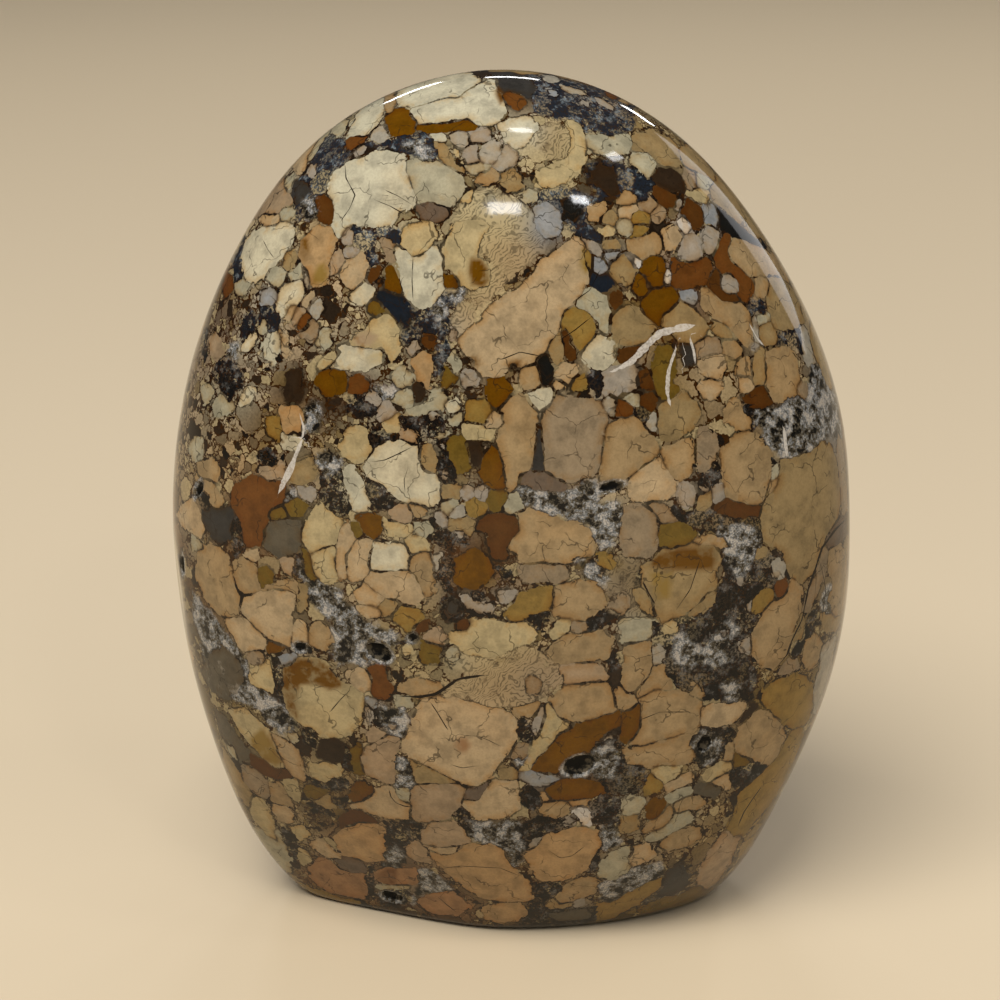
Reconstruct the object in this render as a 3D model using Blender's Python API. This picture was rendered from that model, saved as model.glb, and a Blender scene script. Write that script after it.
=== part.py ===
"""An upright freeform of brecciated jasper: one polished stone, egg-shaped from the front and half
as thick as it is wide, on a small flat base.

Metres, +Z up, the base on z = 0. The broad face looks along -Y.
"""

import math

import bmesh
import bpy
import numpy as np
from mathutils import Matrix, Vector

MM = 0.001

HEIGHT = 114 * MM
BELLY_HEIGHT = 53 * MM
RIM_ROUNDING = 1.2 * MM

# Latitudes in degrees, from the base over the belly at 0 to the top at 90. The half axes below are
# those of the level ellipse through each latitude, as it would be at the belly.
BASE_LATITUDE = -math.degrees(math.asin(BELLY_HEIGHT / (HEIGHT - BELLY_HEIGHT)))
LATITUDES = (BASE_LATITUDE, -42, -22, 0, 22, 42, 64, 90)
RIGHT_MM = (59.0, 51.3, 48.1, 47.4, 46.6, 44.9, 44.7, 44.9)
LEFT_MM = (55.5, 49.4, 45.1, 44.7, 44.5, 44.5, 45.8, 44.9)
FRONT_MM = (27.0, 27.5, 26.5, 25.5, 24.8, 25.0, 26.0, 27.0)
BACK_MM = (31.0, 28.5, 27.0, 26.0, 25.5, 25.5, 26.0, 27.0)
# How much fuller than an ellipse each level is between its axes, as a share.
FULLNESS = (-0.015, 0.04, 0.02, 0.025, 0.02, 0.015, 0.01, 0.0)

# Shallow hollows left by the grinding: side and latitude in degrees, reach in degrees and depth
# in millimetres. Side 0 is the right, 90 the back, 180 the left and 270 the front.
HOLLOWS = (
    (356, 2, 6, 0.35),
    (192, -6, 6, 0.30),
    (322, -30, 16, 0.45),
    (262, 44, 22, 0.35),
    (300, 14, 20, 0.30),
    (60, 10, 26, 0.60),
    (100, 48, 22, 0.45),
)
# Flats ground off the stone, one at the front's lower left and one low on the back: the compass
# turn and the tilt of the way each faces in degrees, then its distance from the middle of the
# base in millimetres.
FLATS = (
    (248.5, -25, 12.9),
    (72, -20, 17.5),
)
FLAT_BLEND = 1.5 * MM

# Open pits in the polish: side, latitude and turn in degrees, then length, width and depth in mm.
PITS = {
    "pit_large": (249.8, -7.1, -25, 3.7, 2.4, 1.1),
    "pit_right": (305.5, -21.0, 80, 2.6, 2.0, 0.9),
    "pit_middle": (283.2, -22.5, 20, 4.4, 3.0, 0.8),
    "pit_small": (255.5, -5.0, 30, 1.4, 1.2, 0.6),
    "pit_slot": (287.2, 13.4, 10, 3.0, 1.2, 0.8),
    "pit_base_edge": (239.8, -53.7, 0, 3.2, 2.2, 1.0),
    "pit_left_low": (201.8, -1.4, 80, 3.0, 1.5, 0.7),
    "pit_left_high": (210.5, 9.6, 60, 2.6, 1.3, 0.7),
    "pit_left_middle": (235.8, -7.4, 15, 1.7, 1.3, 0.6),
    "pit_back_high": (74.0, 31.0, 40, 2.6, 1.6, 0.8),
    "pit_back_low": (112.0, -17.0, 15, 2.2, 1.6, 0.8),
}

SIDES = 100
ROWS = 36
RIM_ROWS = 3

STONE_COLOUR = (0.36, 0.24, 0.13, 1.0)
STONE_ROUGHNESS = 0.12


def clear_scene():
    for obj in list(bpy.data.objects):
        bpy.data.objects.remove(obj, do_unlink=True)


def smooth_curve(places, values, at):
    """The natural cubic spline through values at places, read at each of at."""
    places = np.asarray(places, float)
    values = np.asarray(values, float)
    gaps = np.diff(places)
    slopes = np.diff(values) / gaps
    system = np.eye(len(places))
    bends = np.zeros(len(places))
    for i in range(1, len(places) - 1):
        system[i, i - 1 : i + 2] = gaps[i - 1], 2 * (gaps[i - 1] + gaps[i]), gaps[i]
        bends[i] = 6 * (slopes[i] - slopes[i - 1])
    bends = np.linalg.solve(system, bends)
    i = np.clip(np.searchsorted(places, at) - 1, 0, len(gaps) - 1)
    near = (np.asarray(at) - places[i]) / gaps[i]
    far = 1 - near
    bend = (far**3 - far) * bends[i] + (near**3 - near) * bends[i + 1]
    return far * values[i] + near * values[i + 1] + bend * gaps[i] ** 2 / 6


def over_the_top(first, second, latitude):
    """Half axes of two opposite sides, from one curve that runs up one side and down the other."""
    places = np.append(LATITUDES, 180 - np.array(LATITUDES[-2::-1]))
    values = np.append(first, second[-2::-1]) * MM
    return smooth_curve(places, values, latitude), smooth_curve(places, values, 180 - latitude)


def stone_point(side, latitude):
    """The ground surface at these angles in degrees, as an array of x, y, z.

    Each level is an ellipse whose half axes go smoothly from side to side. It is made fuller
    between its axes by 1 - fullness * cos(4 side), then pressed in by the hollows, cut back to
    the flats and rounded under towards the base.
    """
    side, latitude = np.broadcast_arrays(np.asarray(side, float), np.asarray(latitude, float))
    right, left = over_the_top(RIGHT_MM, LEFT_MM, latitude)
    back, front = over_the_top(BACK_MM, FRONT_MM, latitude)
    turn = np.radians(side)
    across, along = np.cos(turn), np.sin(turn)
    half_width = (right + left) / 2 + (right - left) / 2 * across
    half_depth = (back + front) / 2 + (back - front) / 2 * along
    fuller = 1 - smooth_curve(LATITUDES, FULLNESS, latitude) * np.cos(4 * turn)
    level = fuller * np.cos(np.radians(latitude))
    x = half_width * across * level
    y = half_depth * along * level
    z = BELLY_HEIGHT + (HEIGHT - BELLY_HEIGHT) * np.sin(np.radians(latitude))

    out = np.maximum(np.hypot(x, y), 1e-9)
    inset = np.zeros_like(out)
    for hollow_side, hollow_latitude, reach, depth in HOLLOWS:
        away = (side - hollow_side + 180) % 360 - 180
        apart = (away**2 + (latitude - hollow_latitude) ** 2) / reach**2
        inset += depth * MM * np.exp(-apart)
    shrink = 1 - np.minimum(inset / out, 1)
    x, y = x * shrink, y * shrink

    for compass, tilt, distance in FLATS:
        compass, tilt = math.radians(compass), math.radians(tilt)
        level_way = x * math.cos(compass) + y * math.sin(compass)
        past = level_way * math.cos(tilt) + z * math.sin(tilt) - distance * MM
        cut_back = (past + np.hypot(past, FLAT_BLEND)) / 2 / math.cos(tilt)
        x = x - cut_back * math.cos(compass)
        y = y - cut_back * math.sin(compass)

    lift = np.clip(1 - z / RIM_ROUNDING, 0, 1)
    inset = RIM_ROUNDING * (1 - np.sqrt(1 - lift**2))
    shrink = 1 - np.minimum(inset / np.maximum(np.hypot(x, y), 1e-9), 1)
    return np.stack([x * shrink, y * shrink, np.maximum(z, 0)], axis=-1)


def row_latitudes():
    """Latitudes of the rows: a few close ones round the rim of the base, then even steps."""
    step = np.linspace(0, math.pi / 2, RIM_ROWS + 1)
    rim_heights = RIM_ROUNDING * (1 - np.cos(step))
    rim = np.degrees(np.arcsin((rim_heights - BELLY_HEIGHT) / (HEIGHT - BELLY_HEIGHT)))
    return np.append(rim, np.linspace(rim[-1], 90, ROWS + 1)[1:-1])


def build_stone(centre):
    """The stone as a closed mesh of level rows, with one point at the top and a flat base face."""
    latitudes = row_latitudes()
    sides = np.arange(SIDES) * 360 / SIDES
    points = stone_point(sides[None, :], latitudes[:, None]) - centre
    rows = len(latitudes)
    mesh = bmesh.new()
    rings = [[mesh.verts.new(point) for point in ring] for ring in points]
    top = mesh.verts.new(stone_point(0, 90) - centre)
    mesh.faces.new(rings[0][::-1])
    for lower, upper in zip(rings[: rows - 1], rings[1:]):
        for i in range(SIDES):
            j = (i + 1) % SIDES
            mesh.faces.new((lower[i], lower[j], upper[j], upper[i])).smooth = True
    for i in range(SIDES):
        mesh.faces.new((rings[-1][i], rings[-1][(i + 1) % SIDES], top)).smooth = True
    data = bpy.data.meshes.new("jasper_freeform")
    mesh.to_mesh(data)
    mesh.free()
    stone = bpy.data.objects.new("jasper_freeform", data)
    bpy.context.scene.collection.objects.link(stone)
    return stone


def surface_frame(side, latitude, turn, centre):
    """A matrix at this place on the surface: its Z points out, its X lies along the surface."""
    here = stone_point(side, latitude) - centre
    beside = stone_point(side + 0.5, latitude) - centre
    above = stone_point(side, latitude + 0.5) - centre
    along = Vector(beside - here).normalized()
    out = along.cross(Vector(above - here)).normalized()
    frame = Matrix((along, out.cross(along), out)).transposed().to_4x4()
    frame.translation = Vector(here)
    return frame @ Matrix.Rotation(math.radians(turn), 4, "Z")


def cut_pit(stone, name, centre, side, latitude, turn, length, width, depth):
    """Sinks a hidden lens into the surface and takes it away from the stone.

    The lens stands out of the surface by half its half height, so its mouth is a little inside
    its widest line, and its floor is at the pit's depth.
    """
    half_height = depth / 1.5
    mouth = math.sqrt(0.75)
    size = Matrix.Diagonal((length / 2 / mouth, width / 2 / mouth, half_height, 1))
    sink = Matrix.Translation((0, 0, -half_height / 2))
    mesh = bmesh.new()
    bmesh.ops.create_icosphere(mesh, subdivisions=2, radius=1.0)
    mesh.transform(surface_frame(side, latitude, turn, centre) @ sink @ size)
    data = bpy.data.meshes.new(name)
    mesh.to_mesh(data)
    mesh.free()
    cutter = bpy.data.objects.new(name, data)
    cutter.hide_render = True
    cutter.display_type = "WIRE"
    bpy.context.scene.collection.objects.link(cutter)
    cut = stone.modifiers.new(name, "BOOLEAN")
    cut.operation = "DIFFERENCE"
    cut.solver = "EXACT"
    cut.object = cutter


def give_material(stone):
    material = bpy.data.materials.new("polished_jasper")
    material.use_nodes = True
    shader = material.node_tree.nodes["Principled BSDF"]
    shader.inputs["Base Color"].default_value = STONE_COLOUR
    shader.inputs["Roughness"].default_value = STONE_ROUGHNESS
    shader.inputs["Metallic"].default_value = 0.0
    material.diffuse_color = STONE_COLOUR
    stone.data.materials.append(material)


def main():
    clear_scene()
    around = stone_point(np.arange(SIDES)[None, :] * 360 / SIDES, row_latitudes()[:, None])
    around = around.reshape(-1, 3)
    centre = (around.min(axis=0) + around.max(axis=0)) / 2
    centre[2] = 0
    stone = build_stone(centre)
    for name, (side, latitude, turn, length, width, depth) in PITS.items():
        cut_pit(stone, name, centre, side, latitude, turn, length * MM, width * MM, depth * MM)
    give_material(stone)


main()
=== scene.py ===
"""The dressed model of an upright freeform of polished brecciated jasper, on a pale studio floor.

The stone is one closed surface worked out with numpy on a grid of sides and latitudes. Its clasts,
veins, stains and pits are written on the surface as distances in millimetres, and the material
turns those into crisp edges, cracks and colours. A few of the veins are painted glints and
reflections, and some dark ground along the foot is partly painted shade.

Metres, +Z up, the base on z = 0. The broad face looks along -Y. Inside the surface functions
lengths are in millimetres, because the pattern is drawn in them.
"""

import math

import bpy
import numpy as np
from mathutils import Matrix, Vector


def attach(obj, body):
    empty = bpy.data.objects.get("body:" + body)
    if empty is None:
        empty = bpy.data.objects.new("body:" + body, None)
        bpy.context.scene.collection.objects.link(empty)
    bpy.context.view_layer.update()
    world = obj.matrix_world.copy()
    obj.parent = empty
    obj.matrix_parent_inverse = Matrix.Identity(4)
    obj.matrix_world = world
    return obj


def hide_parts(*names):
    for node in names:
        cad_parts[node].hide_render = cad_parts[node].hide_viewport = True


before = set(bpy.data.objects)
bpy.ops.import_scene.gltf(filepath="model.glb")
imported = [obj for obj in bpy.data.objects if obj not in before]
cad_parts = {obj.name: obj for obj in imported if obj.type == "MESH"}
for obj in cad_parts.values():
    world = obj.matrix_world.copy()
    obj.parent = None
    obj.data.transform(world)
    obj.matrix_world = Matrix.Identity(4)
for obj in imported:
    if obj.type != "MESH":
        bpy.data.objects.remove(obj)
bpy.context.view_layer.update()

bl_info = {
    "name": "Jasper freeform",
    "version": (1, 0, 0),
    "blender": (4, 5, 0),
    "location": "3D View > Sidebar > Jasper",
    "description": "Builds a polished freeform of brecciated jasper and its studio",
    "category": "Add Mesh",
}

MM = 0.001

# The ground shape, as in the solid

# Latitudes in degrees, from the base over the belly at 0 to the top at 90. The half axes in
# millimetres are those of the level ellipse through each latitude, as it would be at the belly.
UPPER_LATITUDES = (-42, -22, 0, 22, 42, 64, 90)
RIGHT_MM = (59.0, 51.3, 48.1, 47.4, 46.6, 44.9, 44.7, 44.9)
LEFT_MM = (55.5, 49.4, 45.1, 44.7, 44.5, 44.5, 45.8, 44.9)
FRONT_MM = (27.0, 27.5, 26.5, 25.5, 24.8, 25.0, 26.0, 27.0)
BACK_MM = (31.0, 28.5, 27.0, 26.0, 25.5, 25.5, 26.0, 27.0)
# How much fuller than an ellipse each of these levels is between its axes.
FULLNESS = (-0.015, 0.04, 0.02, 0.025, 0.02, 0.015, 0.01, 0.0)
# Side and latitude in degrees, reach in degrees, depth in millimetres.
HOLLOWS = (
    (356, 2, 6, 0.35),
    (192, -6, 6, 0.30),
    (322, -30, 16, 0.45),
    (262, 44, 22, 0.35),
    (300, 14, 20, 0.30),
    (60, 10, 26, 0.60),
    (100, 48, 22, 0.45),
)
# Compass turn and tilt in degrees, distance in millimetres.
FLATS = (
    (248.5, -25, 12.9),
    (72, -20, 17.5),
)
# Side, latitude and turn in degrees, then length, width and depth in millimetres.
PITS = (
    (249.8, -7.1, -25, 3.7, 2.4, 1.1),
    (305.5, -21.0, 80, 2.6, 2.0, 0.9),
    (283.2, -22.5, 20, 4.4, 3.0, 0.8),
    (255.5, -5.0, 30, 1.4, 1.2, 0.6),
    (287.2, 13.4, 10, 3.0, 1.2, 0.8),
    (239.8, -53.7, 0, 3.2, 2.2, 1.0),
    (201.8, -1.4, 80, 3.0, 1.5, 0.7),
    (210.5, 9.6, 60, 2.6, 1.3, 0.7),
    (235.8, -7.4, 15, 1.7, 1.3, 0.6),
    (74.0, 31.0, 40, 2.6, 1.6, 0.8),
    (112.0, -17.0, 15, 2.2, 1.6, 0.8),
)

# The main view, in millimetres and pixels of a square picture

EYE = np.array((-1.60, -310.30, 169.97))
VIEW_TILT = math.radians(20)
FOCAL = 2491.5
PICTURE = 1000
SENSOR_MM = 36.0
FORWARD = np.array((0, math.cos(VIEW_TILT), -math.sin(VIEW_TILT)))
UPWARD = np.array((0, math.sin(VIEW_TILT), math.cos(VIEW_TILT)))

# The pattern of the broad face, drawn in pixels of the main view

# Each clast has its tone, then the corners of its outline. The ash outline from 822,650 down the
# right edge is not a clast but a painted sheen of the polish.
CLASTS = """
cream 327,188 336,172 345,165 362,160 378,152 401,156 406,168 413,198 410,206 398,209 390,223 378,227 \
    360,222 348,222 343,230 338,234 334,225 333,205
cream 381,96 384,104 380,118 366,137 350,136 361,110 370,102
pale 246,240 256,232 285,225 292,230 290,240 268,272 258,278 248,281 242,270 241,258
rose 282,180 292,202 290,208 280,212 256,215 255,207 262,195 272,184
sand 331,125 315,145 307,158 303,170 295,168 290,160 298,150
peach 302,240 318,228 330,230 334,240 325,283 312,284 300,255
sand 341,268 348,260 360,256 370,260 368,270 352,288 345,281
brown 316,196 333,200 333,222 325,222 318,215
amber 388,118 395,111 405,110 412,116 413,125 410,132 400,134 392,133
rust 350,137 366,137 360,145 346,155 345,145
cream 400,98 401,90 445,73 458,71 470,75 478,80 458,96 450,98 438,98 412,107 402,103
cream 415,108 445,99 457,99 480,86 494,81 502,95 505,108 500,118 490,124 476,124 468,117 420,123 412,115
bone 408,163 420,160 436,163 460,177 463,188 452,205 446,206 440,202 428,200 420,202 413,180 408,172
straw 405,233 412,226 430,225 434,235 428,248 420,255 412,256 403,248 402,240
mauve 420,208 432,203 442,208 446,215 438,219 424,215
straw 457,226 480,220 488,226 476,256 484,262 489,272 486,284 476,288 452,278 446,268 444,255 450,238
ash 480,146 488,142 497,145 500,152 496,159 485,161 479,155
ash 450,136 458,132 467,134 467,142 458,146 451,142
cream 433,135 442,132 448,138 440,141
straw 570,122 578,128 584,150 582,165 572,178 545,187 538,182 540,170 568,160 572,145
bone 590,138 625,135 632,142 628,152 610,156 598,152 590,146
cream 502,125 510,120 530,118 535,130 528,142 515,146 506,138
rust 502,96 510,92 520,95 524,104 518,109 508,104
slate 495,72 510,72 530,78 536,88 530,97 510,90 500,92
mist 536,208 548,203 558,210 560,220 556,233 545,238 537,228
coal 560,200 572,196 582,205 580,215 572,222 562,218
umber 586,170 600,162 612,168 618,180 620,192 612,197 600,190 590,180
straw 601,228 608,223 614,228 612,236 604,237
bone 617,224 626,221 632,227 630,234 620,233
mist 604,255 612,250 620,253 618,260 608,262
amber 583,252 589,250 593,258 590,267 584,266
khaki 632,140 640,134 655,133 668,137 676,145 680,158 676,166 664,165 655,160 648,152 634,150
umber 652,178 660,168 672,170 680,178 682,188 672,192
khaki 683,150 690,145 710,168 716,180 705,180 685,165 680,158
khaki 716,178 725,178 735,190 756,222 762,235 755,238 717,205 712,195
straw 690,193 700,189 708,192 706,202 695,200
brown 684,205 692,201 700,208 702,218 698,226 688,222 683,214
silver 704,232 712,228 720,235 719,246 712,254 705,248
silver 679,250 686,240 694,238 701,245 700,256 690,261 680,260
white 681,222 685,217 689,223 686,229
rust 718,240 728,234 727,248 731,262 757,284 748,300 738,298 741,288 738,279 728,272 718,268 714,256
amber 642,268 652,257 662,260 665,272 660,285 645,285
tan 628,243 640,236 652,232 660,240 658,252 645,256 632,254
sand 665,232 673,228 680,237 676,248 668,250 664,242
white 630,258 636,260 640,266 634,268
white 665,274 669,270 672,275 670,281 665,280
coal 716,207 725,212 758,242 750,243 726,232 718,226 714,215
mist 704,210 712,205 720,212 724,222 716,226 706,222
pale 289,282 300,279 304,288 304,295 285,312 278,312 276,305
pale 352,299 359,288 366,285 373,290 371,297 365,303 357,302
sand 286,306 290,303 294,312 291,318 287,316
pale 249,329 253,333 254,342 248,348 243,348
cream 268,335 276,329 279,340 277,352 272,360 266,356 265,345
sand 280,331 286,338 287,348 290,356 284,352 280,342
rose 210,340 214,334 220,342 222,352 219,360 212,352
straw 372,322 384,314 394,322 399,333 397,350 390,360 384,358 380,348 352,346 358,336 368,330
cream 343,350 352,348 372,348 383,350 386,358 378,363 360,366 346,366 330,371 337,362
straw 320,369 326,358 336,352 340,354 332,363
amber 320,373 335,369 343,374 346,384 342,393 325,391 318,384
rust 350,382 362,378 368,386 362,392 350,391
umber 290,374 298,372 299,385 297,400 288,403 284,392
peach 284,408 292,405 300,412 301,425 298,436 286,438 282,425
pale 284,434 294,431 301,440 296,448 286,446
honey 268,422 278,419 282,430 276,438 270,432
pale 244,396 250,390 254,392 250,399 243,403
bone 214,404 220,399 228,402 232,408 226,413 216,415
bone 202,390 208,386 213,392 211,400 204,402
mist 263,294 272,292 276,300 270,305 263,302
straw 342,445 350,432 360,430 370,438 372,450 366,458 355,462 345,455
pale 366,468 376,446 390,441 405,444 418,449 417,460 420,470 427,476 438,478 441,490 438,500 425,505 \
    405,500 370,478
cream 344,470 352,468 370,503 360,510 350,505
tan 200,465 212,460 220,470 216,482 205,480 200,474
cream 394,250 405,252 413,258 434,248 440,262 439,278 441,290 436,303 424,307 412,303 403,292
amber 446,274 452,269 459,275 456,283 448,283
sand 520,290 555,252 575,240 583,244 588,277 580,292 562,312 545,350 530,362 507,368 497,375 482,374 \
    472,364 464,350 462,340 470,330 480,325 490,312
amber 470,358 476,358 478,365 472,366
amber 507,364 519,361 518,367 508,367
bone 580,300 588,290 598,288 608,296 614,322 605,330 590,312 580,307
navy 592,275 604,275 612,284 611,293 602,296 594,289
honey 566,312 578,309 588,314 597,322 594,335 588,345 580,352 572,345 564,322
khaki 553,340 558,335 564,345 562,358 555,362 552,352
pale 588,345 600,338 612,345 612,358 605,368 596,370 582,355
coal 538,360 546,357 552,368 552,382 545,387 539,378
tan 525,370 534,368 540,374 540,385 534,390 525,388
sand 557,374 564,367 574,366 577,372 572,380 562,380
honey 574,378 582,374 588,380 584,387 575,388
sand 552,384 558,381 562,386 558,391
pale 530,394 540,388 551,388 553,396 548,405 540,407 532,402
silver 602,378 612,370 628,364 640,370 640,388 630,400 605,392
amber 490,382 502,380 512,392 508,402 500,410 490,408
tan 510,395 524,398 532,410 536,425 535,445 530,465 520,475 512,488 505,480 498,445 498,430 504,424 \
    503,414 497,409
sand 487,418 494,411 502,414 503,424 496,429 489,426
slate 537,425 541,435 542,470 534,471
taupe 545,412 556,398 598,403 604,415 600,462 590,475 572,480 556,480 546,470 543,430
rust 616,404 625,400 632,410 626,418 616,415
tan 608,430 622,420 636,418 648,430 655,440 656,452 626,478 612,484 602,478 603,455
amber 494,445 500,455 507,482 498,488 488,480 482,468 484,452
umber 468,443 480,440 484,450 480,464 470,460
olive 448,438 462,440 470,455 466,468 458,470 447,458
straw 463,425 475,424 486,432 496,428 494,436 480,441 468,437
peach 414,355 425,350 432,358 428,385 420,378 415,368
olive 443,368 451,365 452,378 446,383
bone 394,375 404,370 412,376 408,386 398,389
pale 447,405 454,401 458,408 453,414
mauve 522,476 535,472 550,474 560,480 565,490 552,492 522,486
amber 642,298 655,289 672,288 678,298 658,320 648,314
amber 637,276 648,275 650,284 642,296 636,290
khaki 610,318 622,308 634,308 652,327 646,338 622,346 614,335
khaki 662,318 680,303 690,308 706,328 702,336 690,342 672,330
tan 702,290 712,292 722,302 738,302 748,312 755,325 752,340 745,350 728,326 706,308 702,300
silver 722,280 730,275 738,283 739,291 730,293 723,288
khaki 770,275 780,278 790,285 798,300 802,318 798,326 785,332 776,325 770,312 768,295
tan 752,280 762,276 770,284 767,293 758,296
khaki 762,325 770,322 777,335 775,345 765,344 760,335
khaki 754,352 762,350 766,365 765,380 756,382 753,368
tan 766,355 775,348 788,350 796,360 797,380 794,395 785,400 775,397 769,385
sand 741,378 748,377 753,388 748,395 742,390
sand 700,360 710,355 722,358 722,370 718,378 708,378 702,370
taupe 697,345 706,338 718,340 722,350 712,354 700,356
khaki 662,408 672,398 684,393 692,402 698,415 692,424 672,442 662,440 657,425
sand 700,385 710,378 720,385 716,397 704,398
tan 727,410 735,400 750,420 752,430 740,430 730,422
tan 722,450 735,442 748,430 758,436 768,450 771,465 762,498 752,503 736,500 725,494 722,472
taupe 700,432 707,430 714,440 715,455 708,468 700,470 697,450
tan 662,448 688,440 694,450 690,465 684,478 676,478
sand 630,480 645,468 660,462 674,488 665,498 645,500 630,495
brown 634,372 645,368 652,378 656,392 648,398 640,392
olive 660,350 670,348 672,365 670,385 678,392 670,398 655,395 652,375
slate 684,348 690,346 694,360 688,362
tan 728,252 735,240 745,240 775,258 785,272 790,284 780,277 768,274 750,278 740,266 730,260
sand 183,505 193,500 203,525 200,535 192,532 183,524 178,515
slate 206,510 222,508 232,515 230,535 218,540 208,530 204,520
rust 238,486 255,479 275,480 284,488 283,500 270,512 266,528 258,545 250,552 243,542 241,520 235,505
olive 284,505 298,498 306,504 302,514 290,516
smoke 264,530 275,522 285,520 298,522 300,535 296,550 285,556 275,552 266,545
straw 308,520 315,510 322,505 340,522 337,545 312,552 306,545 304,530
straw 311,555 322,549 333,548 337,578 325,582 315,575
sand 340,530 347,526 352,535 350,545 345,555 348,568 345,577 337,575 335,560 336,545
sand 350,552 358,542 368,540 372,548 365,575 352,578 346,570
amber 360,520 370,515 379,518 381,528 374,537 364,533
pale 374,545 402,547 407,555 406,565 395,571 378,572 370,565 370,553
sand 366,580 372,573 405,572 414,577 420,588 422,600 412,605 375,592
tan 198,555 210,545 220,550 228,560 240,600 238,615 228,617 215,608 205,595 198,578
tan 236,562 248,560 256,570 262,585 250,592 240,590 234,575
olive 256,575 264,566 272,575 274,583 264,588 257,583
sand 243,600 275,590 290,592 296,600 290,615 296,635 290,645 275,640 260,632 240,610
sand 228,622 245,618 266,638 262,648 250,650 238,642
sand 290,625 300,622 306,630 304,642 296,645 290,640
tan 310,630 320,624 330,632 332,642 322,648 312,642
smoke 212,652 222,645 235,655 243,665 245,680 238,692 225,695 212,690 204,675 206,660
straw 247,675 255,665 268,662 272,672 270,690 260,688 252,682
straw 284,668 300,660 318,661 343,685 360,691 364,705 356,725 340,736 325,735 298,720 288,708 283,690
rust 370,668 380,665 384,680 392,690 385,698 375,696
sand 350,675 360,668 368,675 368,688 360,690 352,683
bone 419,525 428,521 434,528 430,536 420,534
brown 480,518 500,516 518,518 519,530 506,548 505,558 495,556 490,545 488,532 478,528
amber 452,568 460,560 472,552 484,556 490,570 486,580 476,588 464,584 456,578
tan 517,512 530,509 560,521 578,525 590,530 594,542 590,552 560,562 540,563 524,560 519,552 508,548 \
    512,538 520,532
taupe 522,568 540,563 558,565 566,575 556,582 525,578
tan 412,560 424,556 434,565 430,595 424,592 420,578 412,568
tan 558,588 592,582 601,590 603,605 597,615 585,618 568,619 558,612 555,600
honey 520,596 535,592 548,586 552,598 546,608 524,617 512,620 508,614
straw 452,636 462,630 470,622 490,622 510,625 524,625 534,632 535,640 520,643 495,656 478,655 455,644
olive 420,645 432,642 440,652 436,662 424,660
bone 448,653 455,650 458,660 452,663
taupe 527,680 535,674 543,682 541,695 534,698 527,690
tan 560,640 580,632 600,632 610,640 606,655 590,660 572,660 555,665 548,655
tan 552,700 565,688 585,684 605,684 614,700 616,712 600,718 580,722 560,716
olive 662,526 675,523 690,527 694,535 686,543 670,549 660,545 657,535
khaki 662,552 680,546 714,545 718,560 714,575 714,590 704,600 690,610 664,622 644,585 642,572 650,562
khaki 780,480 783,462 800,458 812,452 822,442 832,450 838,470 840,500 836,520 826,532 822,545 820,560 \
    812,572 802,580 792,574 782,548 770,545 762,538 762,520 765,508
tan 792,582 800,590 800,605 796,625 786,655 776,665 764,664 755,655 754,640 758,625 766,610 788,592
tan 806,640 815,636 820,645 818,662 810,668 804,660
tan 830,548 840,545 846,560 848,590 842,615 835,618 828,600 834,580 828,562
honey 752,602 760,590 770,588 774,596 766,608 758,614 752,610
rust 776,584 784,580 788,588 783,598 777,600
silver 736,645 746,640 748,650 742,656
tan 628,650 640,642 650,645 652,658 650,675 630,692 624,680
taupe 624,510 640,506 652,515 657,530 656,548 650,558 640,552 630,558 622,545
brown 715,505 730,500 745,503 758,508 757,514 735,515 718,512
smoke 216,712 226,720 246,750 247,758 240,760 222,735
bone 228,742 234,742 238,752 237,760 230,752
straw 230,712 245,712 268,732 278,745 284,758 286,768 276,768 252,745
sand 272,735 285,740 295,750 300,765 302,778 294,775 284,765 276,752
straw 250,797 262,798 268,810 276,840 266,835 250,808
sand 274,806 286,806 293,814 290,822 280,820 275,812
straw 312,766 325,765 340,768 336,776 325,780 315,776
umber 320,745 335,740 346,748 346,758 332,762 321,756
rose 375,742 388,737 398,740 393,768 394,782 384,781 372,776 364,770 360,758
olive 352,752 358,745 363,772 356,770
amber 350,795 360,784 370,788 372,792 364,799 353,803
sand 366,800 378,790 392,788 402,795 410,805 410,820 378,815 362,808 352,806
brown 340,820 350,812 362,812 376,822 352,824 342,828
peach 335,838 345,828 358,821 370,823 382,828 384,845 380,858 368,860 345,855
sand 312,843 322,840 340,858 328,856 318,850
clay 311,866 320,860 330,862 340,870 352,874 365,873 366,890 363,898 332,892 320,884 313,876
clay 376,875 388,868 415,870 418,882 408,884 390,884 378,880
sand 404,745 412,730 418,712 425,702 445,698 495,709 512,718 518,728 514,742 497,765 478,786 455,781 \
    410,754
rose 412,785 450,783 463,790 460,800 452,812 440,820 425,821 412,818 410,800
sand 483,792 495,782 515,782 520,795 518,808 505,815 478,820 466,806 465,800 478,800
rose 422,832 435,824 452,822 462,828 470,840 460,845 440,846 424,842
peach 432,852 450,855 462,846 490,844 503,848 505,858 512,868 522,876 531,888 535,900 500,900 480,895 \
    465,885 438,862
rose 408,845 416,842 424,850 428,860 418,860 410,855
clay 420,900 432,894 448,890 460,898 468,907 458,914 440,914 428,910
peach 485,910 500,904 518,904 526,912 518,920 500,922 488,918
amber 532,765 560,733 575,725 605,715 620,712 622,725 615,735 600,740 580,757 550,772 535,772
amber 548,790 560,782 580,780 600,785 604,792 590,797 570,800 552,800
tan 540,808 548,802 562,801 572,805 565,812 555,818 545,815
peach 526,855 535,845 548,835 565,830 585,828 597,833 600,845 594,858 586,868 575,875 560,880 545,880 \
    535,870
silver 602,735 605,725 615,722 620,730 612,740 604,742
tan 556,898 568,885 585,878 597,882 592,893 560,904
bone 600,865 612,855 628,848 635,855 630,868 615,878 602,875
mauve 468,790 488,784 484,796 476,800 466,798
amber 622,712 640,705 641,725 635,737 622,742 620,728
tan 642,700 655,690 695,696 700,702 696,730 645,745 632,742 640,728
tan 622,748 640,746 688,735 690,745 696,757 680,762 640,766 628,764
sand 702,710 718,705 738,703 744,710 735,722 712,728 704,722
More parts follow.
